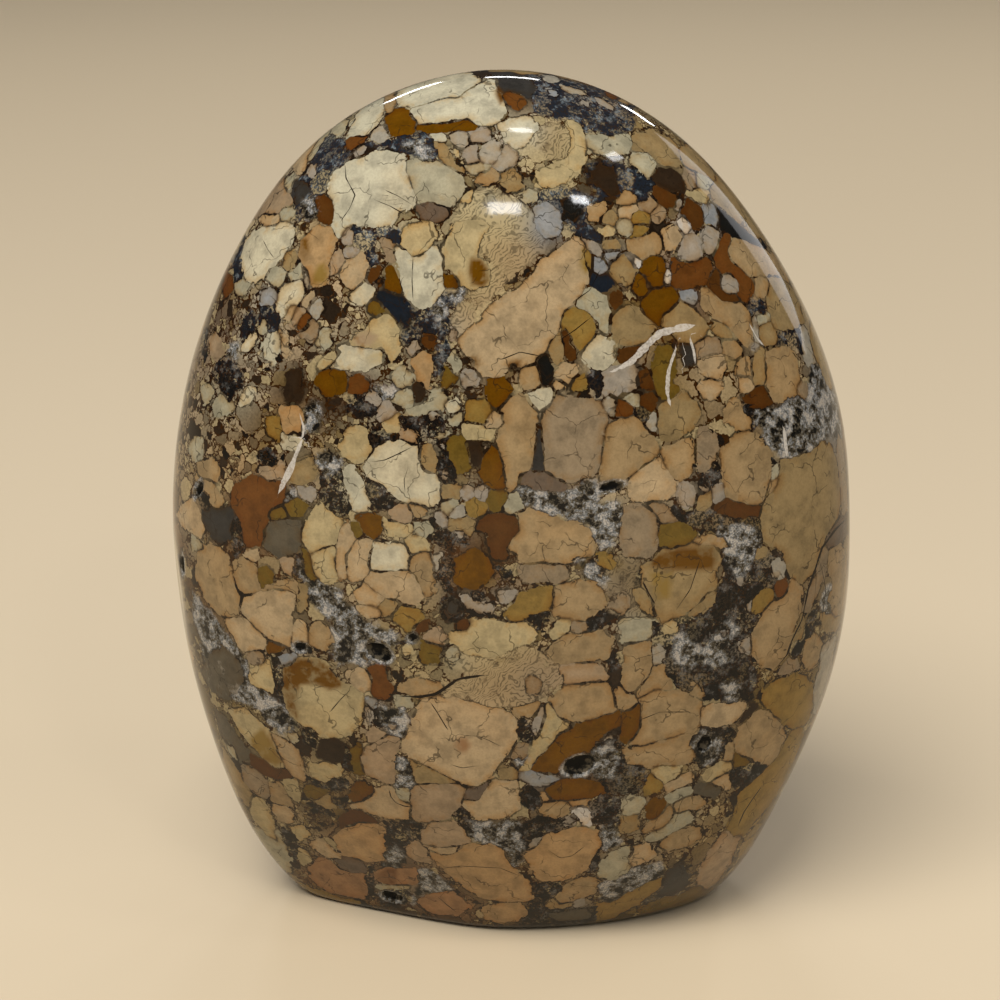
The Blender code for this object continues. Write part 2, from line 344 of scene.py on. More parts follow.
tan 738,735 745,722 755,712 768,712 778,722 785,738 778,750 775,760 765,765 750,760 738,752 735,745
honey 790,735 800,725 802,735 796,755 785,780 772,800 745,832 732,840 728,830 738,812 740,795 780,755
straw 704,775 714,765 728,762 730,768 720,776 708,780
sand 714,780 724,775 732,780 728,788 718,786
straw 655,770 668,766 678,768 676,778 664,782 656,778
sand 664,785 675,778 688,774 690,782 680,788 668,790
bone 622,802 630,796 640,802 638,812 628,815 621,810
amber 648,808 656,801 664,802 662,812 655,819 648,816
tan 675,806 685,798 698,797 703,803 695,808 680,811
tan 662,845 672,835 688,828 700,828 698,838 685,845 670,850
rose 705,862 715,845 728,830 740,835 728,865 718,880 706,892 698,885
slate 662,885 670,872 680,865 686,875 682,888 672,893 664,894
sand 625,858 635,848 648,845 652,855 640,862 630,864
honey 764,690 775,682 790,675 806,678 812,690 812,705 806,722 798,728 785,722 770,710 762,700
bone 622,620 640,618 652,622 650,635 638,640 625,640
amber 416,126 445,126 468,121 477,126 476,131 460,129 445,131 425,130
tan 385,95 391,93 393,104 390,110 386,107
silver 358,145 366,146 364,152 356,156 353,151
ash 374,131 384,129 387,139 378,142 372,137
khaki 437,143 446,146 464,171 448,163 440,155 436,148
straw 447,143 456,150 464,162 460,163 452,155
silver 470,131 480,129 488,133 489,140 482,143 472,140
silver 474,146 480,144 476,160 468,164 463,156
ash 501,150 508,148 515,155 512,163 504,168 495,166
bone 466,166 478,164 488,168 484,173 472,172
tan 480,173 492,170 496,178 488,182 478,180
khaki 503,176 512,172 520,176 519,186 508,188 502,183
bone 484,196 490,193 495,197 492,204 486,203
straw 466,196 473,191 474,197 468,206 462,210
bone 284,180 292,176 291,186 288,190 284,186
bone 331,126 338,121 345,122 345,130 338,134 333,132
bone 318,140 328,129 331,131 310,160 308,156
silver 312,165 315,166 314,173 309,175
slate 294,183 302,179 310,184 311,192 297,205 293,196
bone 281,208 290,204 294,212 288,219 281,218
sand 262,216 272,214 280,218 276,224 264,222
ash 543,76 552,76 560,81 552,83 544,82
ash 560,84 586,92 588,96 572,94 562,89
silver 575,101 582,98 590,101 588,106 577,105
silver 594,97 600,97 613,106 612,111 597,103
rust 606,90 614,92 619,98 611,99 604,95
tan 617,94 637,102 628,105 619,101
mist 545,88 555,88 561,93 558,97 548,95
bone 633,153 648,153 656,161 653,172 648,179 632,165
tan 596,175 604,178 613,188 606,189 598,182
tan 618,192 632,190 636,197 630,205 620,204
sand 622,207 632,205 638,210 630,216 622,215
taupe 640,200 650,198 656,204 652,212 642,210
taupe 652,213 660,206 663,214 657,221 651,219
honey 633,214 644,212 650,217 646,223 634,222
silver 674,200 680,199 682,206 676,208
tan 588,206 600,203 606,210 600,218 590,216
khaki 602,217 612,212 619,218 612,226 603,225
bone 523,194 530,192 536,195 535,200 526,202
brown 655,188 680,197 676,203 662,204 654,197
taupe 685,168 695,172 698,184 690,190 684,178
bone 696,172 706,172 711,180 704,187 695,185
rust 226,274 232,278 231,290 226,295 223,285
bone 236,282 242,279 248,286 244,293 238,291
bone 270,270 278,267 284,275 281,283 274,282 268,277
khaki 287,256 294,254 297,262 291,268 285,265
bone 297,263 301,268 303,278 289,283 292,272
ash 303,268 307,270 309,280 306,290
rose 333,256 340,252 343,260 338,270 332,273 329,264
bone 262,320 266,318 268,328 263,335 260,327
rust 300,316 308,318 308,328 300,327
rose 295,312 303,312 300,322 293,323
taupe 309,321 315,326 317,336 310,342 304,334
ash 312,302 319,300 322,308 316,318 311,312
sand 305,296 312,293 311,303 305,304
bone 320,334 328,333 330,340 325,346 318,343
silver 345,233 350,229 354,236 352,242 346,240
silver 347,252 352,249 356,253 354,258 348,257
taupe 382,238 390,240 396,256 398,268 391,262 385,250
amber 391,268 397,273 403,293 396,295 388,292 385,280
brown 369,268 378,270 385,277 380,287 371,282
silver 374,277 380,275 384,278 380,281 375,281
olive 371,302 378,302 384,312 376,315 370,308
navy 376,292 390,293 402,299 411,308 413,320 406,331 393,312 383,307 376,300
silver 450,330 456,330 457,336 452,337
silver 412,340 418,341 421,348 414,354 410,348
brown 424,334 432,336 434,346 428,350 421,344
bone 448,352 454,352 458,362 454,372 449,366
silver 466,374 474,372 479,378 475,385 468,384
silver 584,239 592,240 600,249 601,260 593,254
mist 593,256 602,259 606,268 600,274 594,265
khaki 612,262 622,257 632,261 637,271 628,282 618,279 612,271
brown 610,291 618,295 622,306 614,311 607,302
khaki 604,240 616,240 620,247 612,251 604,248
honey 634,227 644,225 649,233 640,240 633,236
rust 674,262 690,262 706,259 712,268 706,280 694,284 684,290 676,287 671,282
mist 680,291 690,289 697,297 692,303 684,299
brown 618,350 630,347 642,350 634,359 622,361
brown 566,330 572,338 576,350 572,362 566,356 563,342
ash 749,318 755,318 759,343 753,336
silver 752,346 758,344 758,353 753,353
bone 758,318 770,315 766,322 760,324
khaki 716,324 724,325 733,334 728,341 714,330
tan 723,341 736,342 745,350 736,357 724,352
ash 800,327 806,330 815,363 808,364 802,348
khaki 812,322 828,368 833,392 826,386 811,340
tan 741,362 751,360 752,375 744,377 740,372
bone 192,440 200,442 200,456 194,458 190,450
tan 197,479 206,478 214,486 221,500 222,508 214,506 208,495 200,487
rose 262,470 280,466 283,476 268,480
khaki 300,462 312,460 316,474 306,487 294,482 292,472
silver 300,488 310,487 313,494 308,500 300,497
olive 270,508 284,508 287,516 276,520 268,516
bone 192,536 198,540 201,548 194,548
silver 366,397 374,394 380,400 378,407 370,404
silver 380,404 388,402 392,411 390,420 382,418 378,410
straw 386,419 396,416 398,426 392,432 386,428
bone 396,392 408,388 414,396 412,406 402,404 394,400
bone 436,394 442,398 440,408 412,417 406,414 414,406 426,402
ash 429,413 436,412 436,420 430,420
rose 402,430 412,430 420,437 412,441 404,436
silver 420,418 426,420 424,425 419,424
bone 436,430 446,432 451,436 440,441 435,437
umber 414,388 420,386 422,400 416,404
bone 452,416 460,414 462,420 454,422
honey 470,404 484,400 494,407 486,420 476,423 466,418
silver 481,446 486,445 488,450 483,453
khaki 422,448 430,446 436,456 434,470 426,468 421,458
silver 439,442 444,443 445,450 440,449
silver 443,471 449,472 449,478 443,478
khaki 441,486 452,482 460,488 456,497 446,500 441,494
bone 443,502 452,498 456,504 450,512 444,508
ash 454,508 464,506 466,514 458,518 452,514
silver 462,492 468,489 472,495 466,499
silver 477,493 484,490 488,496 480,500
olive 490,494 500,492 506,500 500,510 492,508 488,500
bone 503,506 520,491 520,510 510,514
honey 466,504 476,500 484,506 482,516 472,518 466,512
rose 394,508 406,506 410,514 404,522 394,518
tan 412,505 424,506 426,514 416,516
silver 437,516 442,516 446,524 442,527 438,522
silver 455,532 463,531 464,538 457,538
khaki 452,521 466,517 474,524 470,532 452,528
olive 352,524 359,522 363,534 356,536
straw 384,524 398,524 410,528 404,534 390,532
straw 408,540 422,538 425,548 412,551
ash 603,403 610,398 616,404 614,414 606,412
bone 620,389 634,387 639,396 638,406 631,402 622,400
brown 641,387 655,388 656,398 650,408 642,404
ash 646,419 654,418 656,430 650,432 645,425
taupe 650,503 662,506 672,514 676,522 664,522 655,512
silver 684,484 694,482 699,492 695,504 686,506 680,498 680,488
brown 744,394 762,390 770,402 760,408 748,406
taupe 798,386 806,386 810,394 808,402 800,398
bone 771,466 777,464 779,474 773,478
tan 772,482 778,480 775,492 770,490
taupe 838,430 843,445 848,510 843,512 838,455
mauve 836,524 846,518 846,532 838,545 828,550 827,540
silver 714,484 724,484 724,496 720,503 713,502
silver 692,482 704,484 706,491 696,493
khaki 696,495 710,492 712,504 704,512 696,508
tan 696,540 710,536 722,538 728,548 700,544
brown 712,274 717,270 718,284 726,294 740,298 736,303 722,300 713,292 709,282
sand 246,547 256,546 258,556 250,560
olive 305,550 310,556 312,570 318,580 312,584 306,574
rose 284,556 292,560 292,574 284,570
tan 262,584 278,580 292,582 300,592 276,588 264,590
khaki 300,588 308,592 306,606 300,612 296,602
amber 270,643 284,648 290,653 280,656 270,652
mist 276,655 286,652 294,656 290,664 280,664
taupe 252,652 260,652 262,663 254,668 248,660
sand 357,593 366,586 378,592 384,600 376,607 362,604
sand 360,607 372,607 378,612 366,614
khaki 384,600 396,602 394,612 384,614 378,606
honey 400,608 412,610 422,616 420,626 408,628 398,620 394,614
brown 414,622 426,622 426,630 416,632
ash 434,558 440,556 438,568 434,575
slate 446,602 454,598 460,604 458,614 450,618 446,612
silver 461,596 466,595 472,601 482,603 490,607 488,611 466,603
silver 500,594 508,590 514,592 512,600 502,602
brown 462,622 472,624 472,632 462,632
straw 404,646 410,645 412,652 406,654
rose 430,632 440,630 446,638 438,643 428,641
tan 402,684 420,680 446,690 430,694 412,694 400,690
bone 395,696 408,697 410,704 398,704
mist 366,698 374,700 374,708 368,708
straw 552,634 560,622 570,618 566,628 556,638
honey 600,554 612,556 618,564 610,572 602,566
ash 598,570 604,568 604,577 599,577
khaki 634,590 644,592 652,604 656,614 644,614 634,604
taupe 574,622 588,624 592,631 578,633
taupe 613,600 622,592 630,596 630,608 620,616 612,610
rose 560,668 580,664 600,668 606,678 590,683 566,682
tan 616,690 630,694 634,704 626,712 616,706
tan 654,668 664,664 670,688 656,689 640,694
ash 652,646 660,642 666,650 662,662 656,664
straw 664,624 672,618 680,622 676,632 666,634
khaki 706,590 714,592 716,604 704,614 692,618 690,612 700,602
silver 736,573 744,574 744,584 738,586
silver 724,600 732,598 733,606 726,608
silver 748,600 752,600 751,611 747,610
mist 720,630 728,630 728,639 721,639
khaki 756,548 766,548 764,556 757,556
ash 770,562 778,558 784,566 782,578 774,578
taupe 822,548 828,550 826,566 822,580 808,610 804,608 818,572
khaki 800,618 806,624 800,638 794,640 796,628
khaki 822,614 832,617 841,614 838,628 826,630
taupe 784,664 796,658 798,666 788,674 780,672
ash 822,650 834,640 830,670 822,700 816,712 814,690 820,670
tan 690,680 700,682 706,695 698,699 690,695
khaki 224,750 252,796 250,808 240,796 224,762
taupe 245,768 256,770 266,782 270,796 262,797 252,790 244,780
tan 270,784 280,785 288,796 292,805 280,804 271,798
straw 283,777 294,780 300,792 298,802 289,795
bone 286,727 292,727 298,737 295,742
straw 292,828 302,826 306,834 298,838
straw 297,846 304,850 310,861 304,864 298,856
brown 252,756 274,768 288,769 292,778 282,780 268,775 256,768
olive 308,788 318,786 324,792 316,799 308,796
khaki 317,801 328,797 332,806 324,810
khaki 411,763 424,767 458,782 446,784 430,783 418,785
bone 392,793 400,787 410,787 409,804 400,804 394,800
khaki 500,772 510,769 520,774 512,779 501,778
sand 432,850 462,847 456,853 442,855
silver 384,727 392,724 400,727 392,731
silver 366,705 372,708 376,719 370,721 366,713
rose 370,736 377,730 384,734 379,742 372,744
straw 549,705 556,717 566,724 574,727 560,734 528,769 522,770 541,728
silver 537,716 543,707 545,716 541,729 536,738 533,732
tan 515,706 538,705 534,713 524,717 516,714
taupe 518,744 528,744 528,755 520,760 514,756
mist 519,774 534,772 548,775 557,780 546,784 532,782
peach 542,795 552,801 574,801 590,798 587,806 574,806 564,801 548,801
white 575,807 582,806 588,814 591,826 584,824 578,816
honey 644,782 652,776 662,782 658,790 648,792
bone 668,799 676,790 688,786 692,790 672,802
bone 648,838 656,830 668,826 678,816 688,812 693,818 682,826 656,839
tan 644,830 652,820 671,808 668,822 656,830
khaki 622,817 636,816 636,828 622,830
silver 524,844 541,836 540,846 530,850
silver 563,822 570,818 572,824 566,828
tan 728,742 733,745 732,757 726,762 722,758
olive 734,752 750,760 746,764 736,765
umber 742,721 745,713 752,706 756,708 745,722
smoke 698,784 722,788 716,795 694,792
bone 378,886 408,886 404,890 386,891
mauve 338,860 350,858 360,862 364,872 352,872 342,867
honey 294,880 320,892 340,899 358,902 346,905 306,896
khaki 544,904 552,898 560,904 574,903 566,908 550,910
silver 574,902 580,899 582,905 576,908
smoke 548,914 586,908 592,918 576,921 556,921
honey 598,904 612,903 628,892 660,878 662,886 640,902 610,918 598,920
olive 640,907 660,899 680,896 700,886 712,890 704,898 688,904 642,914
white 667,888 672,886 672,892 668,893
"""

# Outlines of the kinds of ground between the clasts: kind, then the corners. The soot strip from
# 520,927 along the bottom edge is partly dark ground and partly painted shade at the foot.
ZONES = """
soot 366,138 380,142 418,131 434,134 437,146 434,160 425,162 412,160 404,155 390,150 378,150 366,146
druse 402,146 416,141 430,147 427,158 412,155
soot 318,142 332,134 345,141 350,150 345,165 332,172 326,190 320,196 312,190 316,172 314,158
soot 300,176 314,176 314,196 302,206 304,220 296,218 292,200
druse 302,202 310,198 318,200 320,215 312,222 302,218
soot 520,74 560,78 600,88 634,106 634,122 626,136 612,137 598,134 584,134 573,120 546,118 535,112 530,98 \
    537,88 530,78
soot 588,163 605,160 616,166 632,167 656,180 650,202 640,202 632,192 622,184 619,194 612,199 600,192 \
    589,181 585,171
soot 540,192 556,187 575,189 602,200 590,206 586,215 578,224 565,224 556,205 546,203 536,206
swirl 530,140 536,130 545,122 558,123 568,132 571,145 567,158 558,162 545,160 535,150
swirl 452,222 460,205 475,192 492,190 524,204 534,216 528,228
crumb 455,166 500,166 530,150 540,180 530,192 505,190 462,192
soot 246,232 243,250 238,262 232,270 230,262
soot 236,256 244,262 243,280 236,280 232,268
soot 242,314 252,312 254,326 250,336 243,342 240,330
soot 262,306 276,304 281,316 279,328 268,336 260,318
soot 204,330 209,328 206,360 202,352
soot 432,512 446,528 466,534 470,545 440,548 425,538 428,520
soot 436,425 452,440 452,470 448,490 440,482
soot 214,360 224,352 234,362 242,375 240,390 228,400 218,385 212,372
druse 228,344 238,346 236,358 226,356
soot 354,225 400,228 402,244 392,240 380,238 374,250 380,264 368,266 362,252 356,244
soot 404,300 418,308 430,306 440,298 446,288 454,294 464,290 464,302 452,314 452,326 444,336 430,330 \
    408,345 398,336
druse 434,296 446,300 451,312 442,322 432,310
druse 446,293 466,291 468,300 456,305 448,302
soot 436,345 446,345 449,358 442,374 434,378 433,360
swirl 488,226 540,224 548,243 530,262 520,270 478,312 470,327 455,337 450,318 460,300 476,291 490,286 \
    491,262 480,256 482,240
soot 560,222 585,224 602,236 606,250 588,238 575,232 563,232
soot 584,366 600,370 606,386 598,397 588,388
soot 750,298 765,300 764,313 751,311
soot 776,332 800,326 806,354 784,346 775,345
crumb 300,250 305,300 316,290 340,290 360,306 350,330 330,350 300,370 270,372 250,360 240,340 214,330 \
    215,300 240,280
crumb 606,252 640,256 644,290 616,316 606,300
crumb 400,345 430,330 470,340 480,372 520,372 560,392 520,400 450,395 410,400 396,376
soot 192,480 200,484 208,494 211,510 202,510 196,496
soot 254,452 270,450 278,458 276,468 262,466 256,462
druse 302,404 318,404 322,424 316,436 304,432
druse 284,485 297,485 297,500 286,498
soot 318,474 326,466 344,468 347,480 350,508 344,516 334,512 316,496 322,486
druse 316,450 340,452 346,466 330,474 316,466
soot 232,512 240,520 245,550 238,562 230,548
druse 374,386 396,386 398,396 384,402 376,398
soot 344,394 360,396 376,402 378,414 372,420 348,410
soot 372,426 380,424 386,432 398,432 404,440 418,447 408,443 390,440 370,448 366,440
soot 400,418 436,414 444,424 440,434 424,440 414,438 404,430
soot 436,440 448,440 448,458 456,470 458,482 446,484 440,476 436,460
soot 430,530 444,528 458,534 464,542 452,551 436,546
soot 362,468 372,480 400,500 396,506 382,512 372,506 366,490
soot 632,406 646,408 652,416 650,424 634,414
druse 516,487 524,486 540,490 556,491 596,481 602,500 620,502 624,512 620,530 612,546 600,554 590,528 \
    575,522 560,519 530,507 516,508
soot 556,512 570,508 584,512 590,522 578,524 562,520
soot 670,508 680,507 695,509 714,508 722,516 762,520 765,540 760,552 745,558 724,540 710,532 696,530 \
    680,522
soot 738,394 746,402 756,408 760,420 756,430 764,440 770,452 778,462 770,470 766,450 756,436 740,404
druse 758,406 780,404 796,400 806,392 810,364 820,366 830,386 840,400 848,430 842,440 832,436 822,440 \
    812,450 800,456 786,458 776,456 768,448 754,414
soot 694,466 706,470 718,462 722,478 716,485 700,485
druse 722,528 745,522 762,528 762,545 750,564 738,562 728,552 720,540
solid 690,380 732,385 736,400 726,410 722,445 706,428 694,430 690,420
solid 636,270 700,300 730,340 770,340 800,400 790,460 800,500 780,560 700,560 640,500 600,450 560,380 \
    600,330
crumb 168,400 190,390 240,390 262,400 300,400 300,430 280,470 240,478 200,470 180,440
crumb 340,400 420,385 470,385 490,420 470,440 460,500 510,500 500,520 470,550 400,550 380,520 440,510 \
    444,440 400,430 350,430
druse 298,560 306,572 318,580 334,584 342,592 350,606 362,616 396,634 400,644 392,650 384,642 372,640 \
    364,646 366,656 372,664 362,668 350,664 340,664 330,652 334,640 330,622 308,600 304,584 298,572
druse 192,590 202,604 214,616 238,646 250,664 250,684 262,690 290,712 300,726 292,732 256,708 240,700 \
    222,696 208,680 200,640 194,620
soot 179,556 184,558 183,576 179,578
soot 272,656 280,656 280,668 288,706 280,708 274,690
soot 294,646 306,644 306,652 296,654
soot 298,545 304,545 302,560 306,572 300,580 292,574
soot 438,560 450,556 456,566 452,580 454,592 444,594 438,580
soot 442,600 450,594 462,598 462,614 452,622 444,616
soot 462,586 480,590 490,598 488,604 474,600
soot 496,568 512,566 514,576 502,582
crumb 490,575 520,570 520,612 500,620 488,600
swirl 446,664 470,656 530,648 560,660 560,690 520,706 490,706 470,700 446,698 440,690 456,680 470,674
crumb 392,638 424,640 446,664 440,680 410,690 392,680
soot 526,619 548,612 551,618 546,626 538,632
druse 578,560 600,566 606,576 604,586 596,580 586,578
swirl 606,560 622,556 640,560 634,576 632,590 640,604 650,616 640,618 622,618 610,610 606,590
soot 632,574 640,570 642,580 634,586
soot 652,618 660,624 664,634 654,652 652,640
soot 588,612 606,604 606,620 602,632 590,630 586,622
soot 604,660 618,654 624,664 620,674 608,674
soot 672,622 706,606 716,596 722,580 724,560 760,560 772,548 780,556 782,572 776,584 752,598 750,612 \
    758,616 752,634 740,640 756,668 760,680 750,700 728,704 706,700 674,690 668,676 660,664 654,650 \
    660,636
druse 726,546 742,546 752,560 746,576 738,586 730,572
druse 670,640 682,632 706,648 720,628 730,618 738,630 728,644 730,660 714,668 700,664 690,672 676,664
druse 724,684 736,680 742,692 736,702 724,700
druse 822,590 832,584 834,600 830,614 822,612
soot 806,612 818,610 820,624 806,640 804,628
soot 794,642 804,640 803,652 796,660 790,656
crumb 748,656 770,668 786,672 780,684 766,690 756,680
crumb 238,705 262,706 278,722 270,730 256,718 240,712
druse 262,703 284,704 290,716 288,730 280,734 262,714
soot 286,711 292,714 298,728 290,730 284,720
soot 300,730 312,728 320,740 314,748 303,742
soot 345,745 350,752 350,765 342,768 340,756
crumb 244,770 268,776 276,800 296,812 300,832 294,866 284,866 268,812 254,796
soot 282,828 296,834 302,850 300,868 290,866 284,846
soot 314,783 326,782 338,776 348,780 346,792 318,790
soot 310,804 320,804 334,812 336,818 311,811
soot 334,798 348,795 350,812 336,808
crumb 296,778 312,782 336,792 336,826 316,836 300,824 302,802
soot 371,706 386,706 392,722 380,730 370,722
druse 378,706 404,706 412,720 402,738 388,732 380,722
crumb 345,722 366,728 366,742 350,746 344,736
druse 397,756 406,762 414,780 414,790 400,796 394,786
soot 394,752 404,756 418,784 412,786 400,768 396,780 392,768
druse 472,822 484,820 500,824 520,818 522,862 512,868 504,850 490,843 474,842 469,834
soot 452,812 462,802 474,824 476,838 468,836 460,824 452,818
soot 384,823 410,820 424,824 421,836 414,842 404,846 402,862 392,866 384,860 388,842
druse 384,852 396,846 404,856 400,870 386,866
druse 514,756 530,756 532,768 518,770
soot 517,716 530,718 534,736 528,744 518,740
soot 518,791 530,786 540,792 541,806 532,812 520,808
druse 562,766 570,758 580,755 590,758 592,772 584,778 570,776
soot 590,744 604,739 618,738 640,754 644,770 644,790 636,796 624,796 606,790 592,780
druse 592,750 610,744 618,760 612,780 598,780 592,768
soot 586,802 602,797 622,796 622,822 606,826 594,826
druse 600,824 620,826 618,846 606,850 600,838
soot 530,818 548,814 562,816 574,822 570,830 548,832 522,852 516,862 510,850 518,828
soot 590,856 600,848 602,862 598,870 588,872
crumb 620,830 650,840 690,850 690,870 650,880 630,866 622,850
soot 690,735 706,726 730,724 738,730 730,744 724,760 714,768 700,768 690,755
druse 693,741 700,733 712,733 722,738 718,752 712,762 704,765 697,756
soot 733,770 760,761 768,766 744,788 734,788 730,778
crumb 690,768 706,784 726,796 736,812 722,836 700,850 690,830
soot 366,864 376,864 376,900 366,900
soot 376,893 386,889 402,888 412,892 408,904 396,908 380,906
druse 418,868 432,870 446,880 454,890 432,892 412,904
soot 534,882 548,880 560,882 562,890 554,898 544,904 536,912 530,912 530,900
soot 526,908 598,906 598,922 560,926 520,927
druse 598,884 612,880 640,866 660,862 668,868 656,880 612,902 600,900
soot 640,902 654,894 664,896 648,908
rust 640,270 700,262 716,300 700,346 660,340 640,310
rust 430,536 470,530 486,560 480,592 440,588
rust 226,540 300,536 306,576 270,590 230,580
rust 200,586 230,580 240,640 226,668 200,640
rust 264,852 310,854 324,880 300,894 276,884
rust 586,276 616,276 616,320 588,322
rust 636,776 680,772 682,806 640,808
"""

# The general tone of the ground between the clasts: tone, x, y and reach. The mist spot at 815,425
# on the right side paints a bluish reflection.
GROUND = """
sand 240,230,45 tan 260,290,30 mauve 225,335,40 rose 310,305,34 straw 330,240,26 slate 320,165,26
bone 400,120,40 straw 480,180,40 khaki 540,120,40 khaki 640,130,40 olive 700,170,40 umber 600,200,40
umber 655,240,40 brown 680,300,36 tan 760,270,40 tan 800,330,40 straw 430,320,30 tan 470,290,40
rose 225,400,40 tan 225,450,30 brown 290,430,30 slate 330,400,30 khaki 330,470,30 coal 435,450,34
khaki 450,490,30
taupe 560,400,30 tan 640,350,34 tan 700,410,40 tan 640,450,40 taupe 590,450,40 slate 750,430,30
mist 815,425,26 khaki 830,520,40 tan 770,500,40 brown 220,560,40 umber 300,560,40 umber 400,570,40
brown 480,560,34 bone 620,520,30 slate 640,590,40 tan 760,570,40 tan 240,640,40 smoke 330,620,34
straw 420,640,40 tan 500,650,40 taupe 580,680,40 slate 700,650,40 honey 780,640,40 khaki 830,620,40
smoke 200,650,30 olive 240,710,34 umber 270,740,34 tan 350,740,40 olive 240,800,40 umber 310,810,40
tan 390,790,34 umber 480,820,34 slate 610,770,40 khaki 700,800,40 honey 770,790,40 umber 390,880,40
clay 350,880,30 umber 510,870,40 umber 600,870,40 taupe 640,860,34 olive 650,905,40 honey 720,870,40
"""

# Outlines of the stains over the clasts: tone, then the corners. The coal outline along the bottom
# edge is partly dark ground and partly painted shade where the stone meets the floor.
STAINS = """
amber 301,238 308,239 309,252 305,262 300,254
honey 318,265 324,263 328,272 326,283 313,284 312,277
amber 470,258 481,259 488,268 489,281 483,287 472,285 468,272
amber 470,356 476,357 480,364 474,367
amber 507,363 520,360 519,368 508,368
honey 581,249 586,245 592,256 591,268 586,274 579,266
amber 497,86 502,92 505,100 500,104 496,95
straw 374,352 390,354 384,362 370,364 366,358
rose 352,336 366,330 378,336 372,346 356,346
amber 654,556 680,548 714,547 716,560 712,570 664,570 650,566
honey 650,572 672,572 670,598 656,600
clay 454,745 459,738 466,738 471,745 466,752 459,752
coal 300,896 330,903 400,912 440,919 530,927 530,940 440,936 360,926 300,910
amber 283,666 300,658 319,659 332,670 345,686 330,690 314,684 300,685 296,700 299,722 287,708 281,690
honey 250,738 262,728 272,742 282,762 276,767 252,752
rust 377,875 388,868 397,869 396,884 386,884 378,880
"""

# White veins and dark cracks: breadth in millimetres, then the points they run through. Of the
# veins, the one through 690,338 is a painted glint, the one through 784,428 a painted reflection on
# the right side, and the one through 302,440 with its branch up to 300,415 is partly a quartz vein
# and partly a painted highlight.
VEINS_AND_GLINTS = """
0.75 612,372 630,362 648,345 660,333 680,328 695,325
0.30 690,338 694,352 695,362
0.50 676,348 669,370 667,390 670,405
0.22 750,325 757,338 763,345
0.70 302,440 296,455 290,470 284,482 278,494
0.22 302,440 304,428 300,415
0.45 784,428 785,440 787,455
"""
CRACKS = """
0.36 846,519 835,530 822,548 815,570 808,590 802,620 792,640 787,655 776,668
0.14 345,165 346,178 355,195 350,208 340,222
0.12 385,190 398,196 411,204
0.12 375,200 390,206 404,214
0.12 413,258 412,280 413,300
0.10 263,240 268,250 274,258
0.12 560,340 575,330 590,318
0.12 500,360 520,352 540,356
0.12 430,870 460,866 500,868 520,876
0.10 548,850 560,858 572,856 585,846
0.12 640,720 660,712 690,712
0.12 350,690 340,700 330,712
0.12 600,270 590,290 576,300
0.14 820,560 826,590 822,620
0.12 700,560 690,590 676,610
0.12 372,462 385,460 398,454 412,447
0.10 408,468 404,480 405,492
0.35 400,696 420,697 436,694 448,686 458,679 470,677 486,675
0.30 643,582 648,592 655,604
0.18 389,790 391,797 396,803 404,806 411,807
0.20 762,786 752,800 744,812 738,826
0.14 431,703 437,712 443,722 448,730
0.14 478,736 488,740 500,746
0.10 452,765 462,768 476,766
0.16 438,897 446,904 456,912
"""

# The surface grid

BELLY_HALF_WIDTH = 46.0
BELLY_HALF_DEPTH = 25.5
# The grid's columns start here, in degrees, so that the seam of its sheet is at the back.
SEAM_SIDE = 90
# How fine the grid is at the back, where it is 1 in front. It changes between these shares of
# the way from the middle to the front.
BACK_PACE = 0.42
BACK_FADE = (-0.5, 0.1)
PACE_STEPS = 4001
RIM_ROWS = 4
# A pit is looked for this near its own level, in millimetres. Elsewhere its rim counts as being
# this many pit radii away.
PIT_REACH = 3.0
FAR_RADII = 9
# A step in degrees that shows which way along and up is at a pit.
PIT_STEP = 0.5
# Share of the sheet's height under the grid, and the share of that which the base takes up.
SHEET_BASE = 0.04
BASE_FILL = 0.9

# How the outlines are put on the surface, in millimetres where not said

# Depths inside an outline go no lower than this.
FAR_MM = -6.0
# Two clasts go in different sets where a point has a greater depth than this in both. At each
# point a clast is compared with fewer than this many that follow it in the list.
TOUCH_MM = -0.9
STACK = 8
SET_COUNT = 6
# How far round an outline or a line its points are looked for, in pixels.
PICTURE_MARGIN = 40
LINE_MARGIN = 16
# A millimetre counts as at least this many pixels, where the surface turns away from the view.
LEAST_STRETCH = 1.5
# Points that face away from the view more than this aren't drawn on.
HIDDEN_REACH = -0.28
# A drawn clast that runs round the edge of the view ends by chance at a facing in this span.
ROUND_THE_EDGE = (-0.22, 0.0)
EDGE_RADIUS = 20.0
DRAWN_SHADES = (0.94, 1.05)
GROUND_WEIGHT = 0.5
CLAST_REACH_MM = 1.0
ZONE_SOFTNESS_MM = 3.0
STAIN_SOFTNESS_MM = 0.4
# Lines further off than the first are left out. Without a line near it a point reads the second.
LINE_REACH_MM = 1.6
NO_LINE_MM = 9.0
# Share of a line's breadth at its ends, and the shares of its run between which it thins out.
LINE_END_BREADTH = 0.35
LINE_TAPER = (-0.02, 0.15)

# The sides that the main view doesn't show

# Facings at which the drawn pattern gives way to the scattered one.
FRONT_FADE = (-0.2, 0.02)
# Scattered clasts, round patches and spots of ground tone start at facings below these.
CLASTS_BELOW = 0.03
PATCHES_BELOW = 0.05
SPOTS_BELOW = 0.15
# Clasts there start at least this high, so that the base keeps a rim of darker bare ground, painted
# shade along the foot.
SHADED_FOOT_MM = 4.0
# Radius in millimetres and how many tries each size gets.
SIDE_RADII = ((7.5, 8), (5.8, 24), (4.2, 70), (3.0, 200), (2.1, 600), (1.5, 900), (1.1, 700))
# Shares in per cent of the tones, and the span of their shades.
SIDE_TONES = {
    "tan": 18, "sand": 18, "straw": 11, "khaki": 9, "peach": 8, "bone": 6, "rose": 6, "honey": 6,
    "amber": 5, "cream": 4, "taupe": 3, "olive": 2, "clay": 2, "rust": 1, "silver": 1,
}
SIDE_SHADES = (0.9, 1.06)
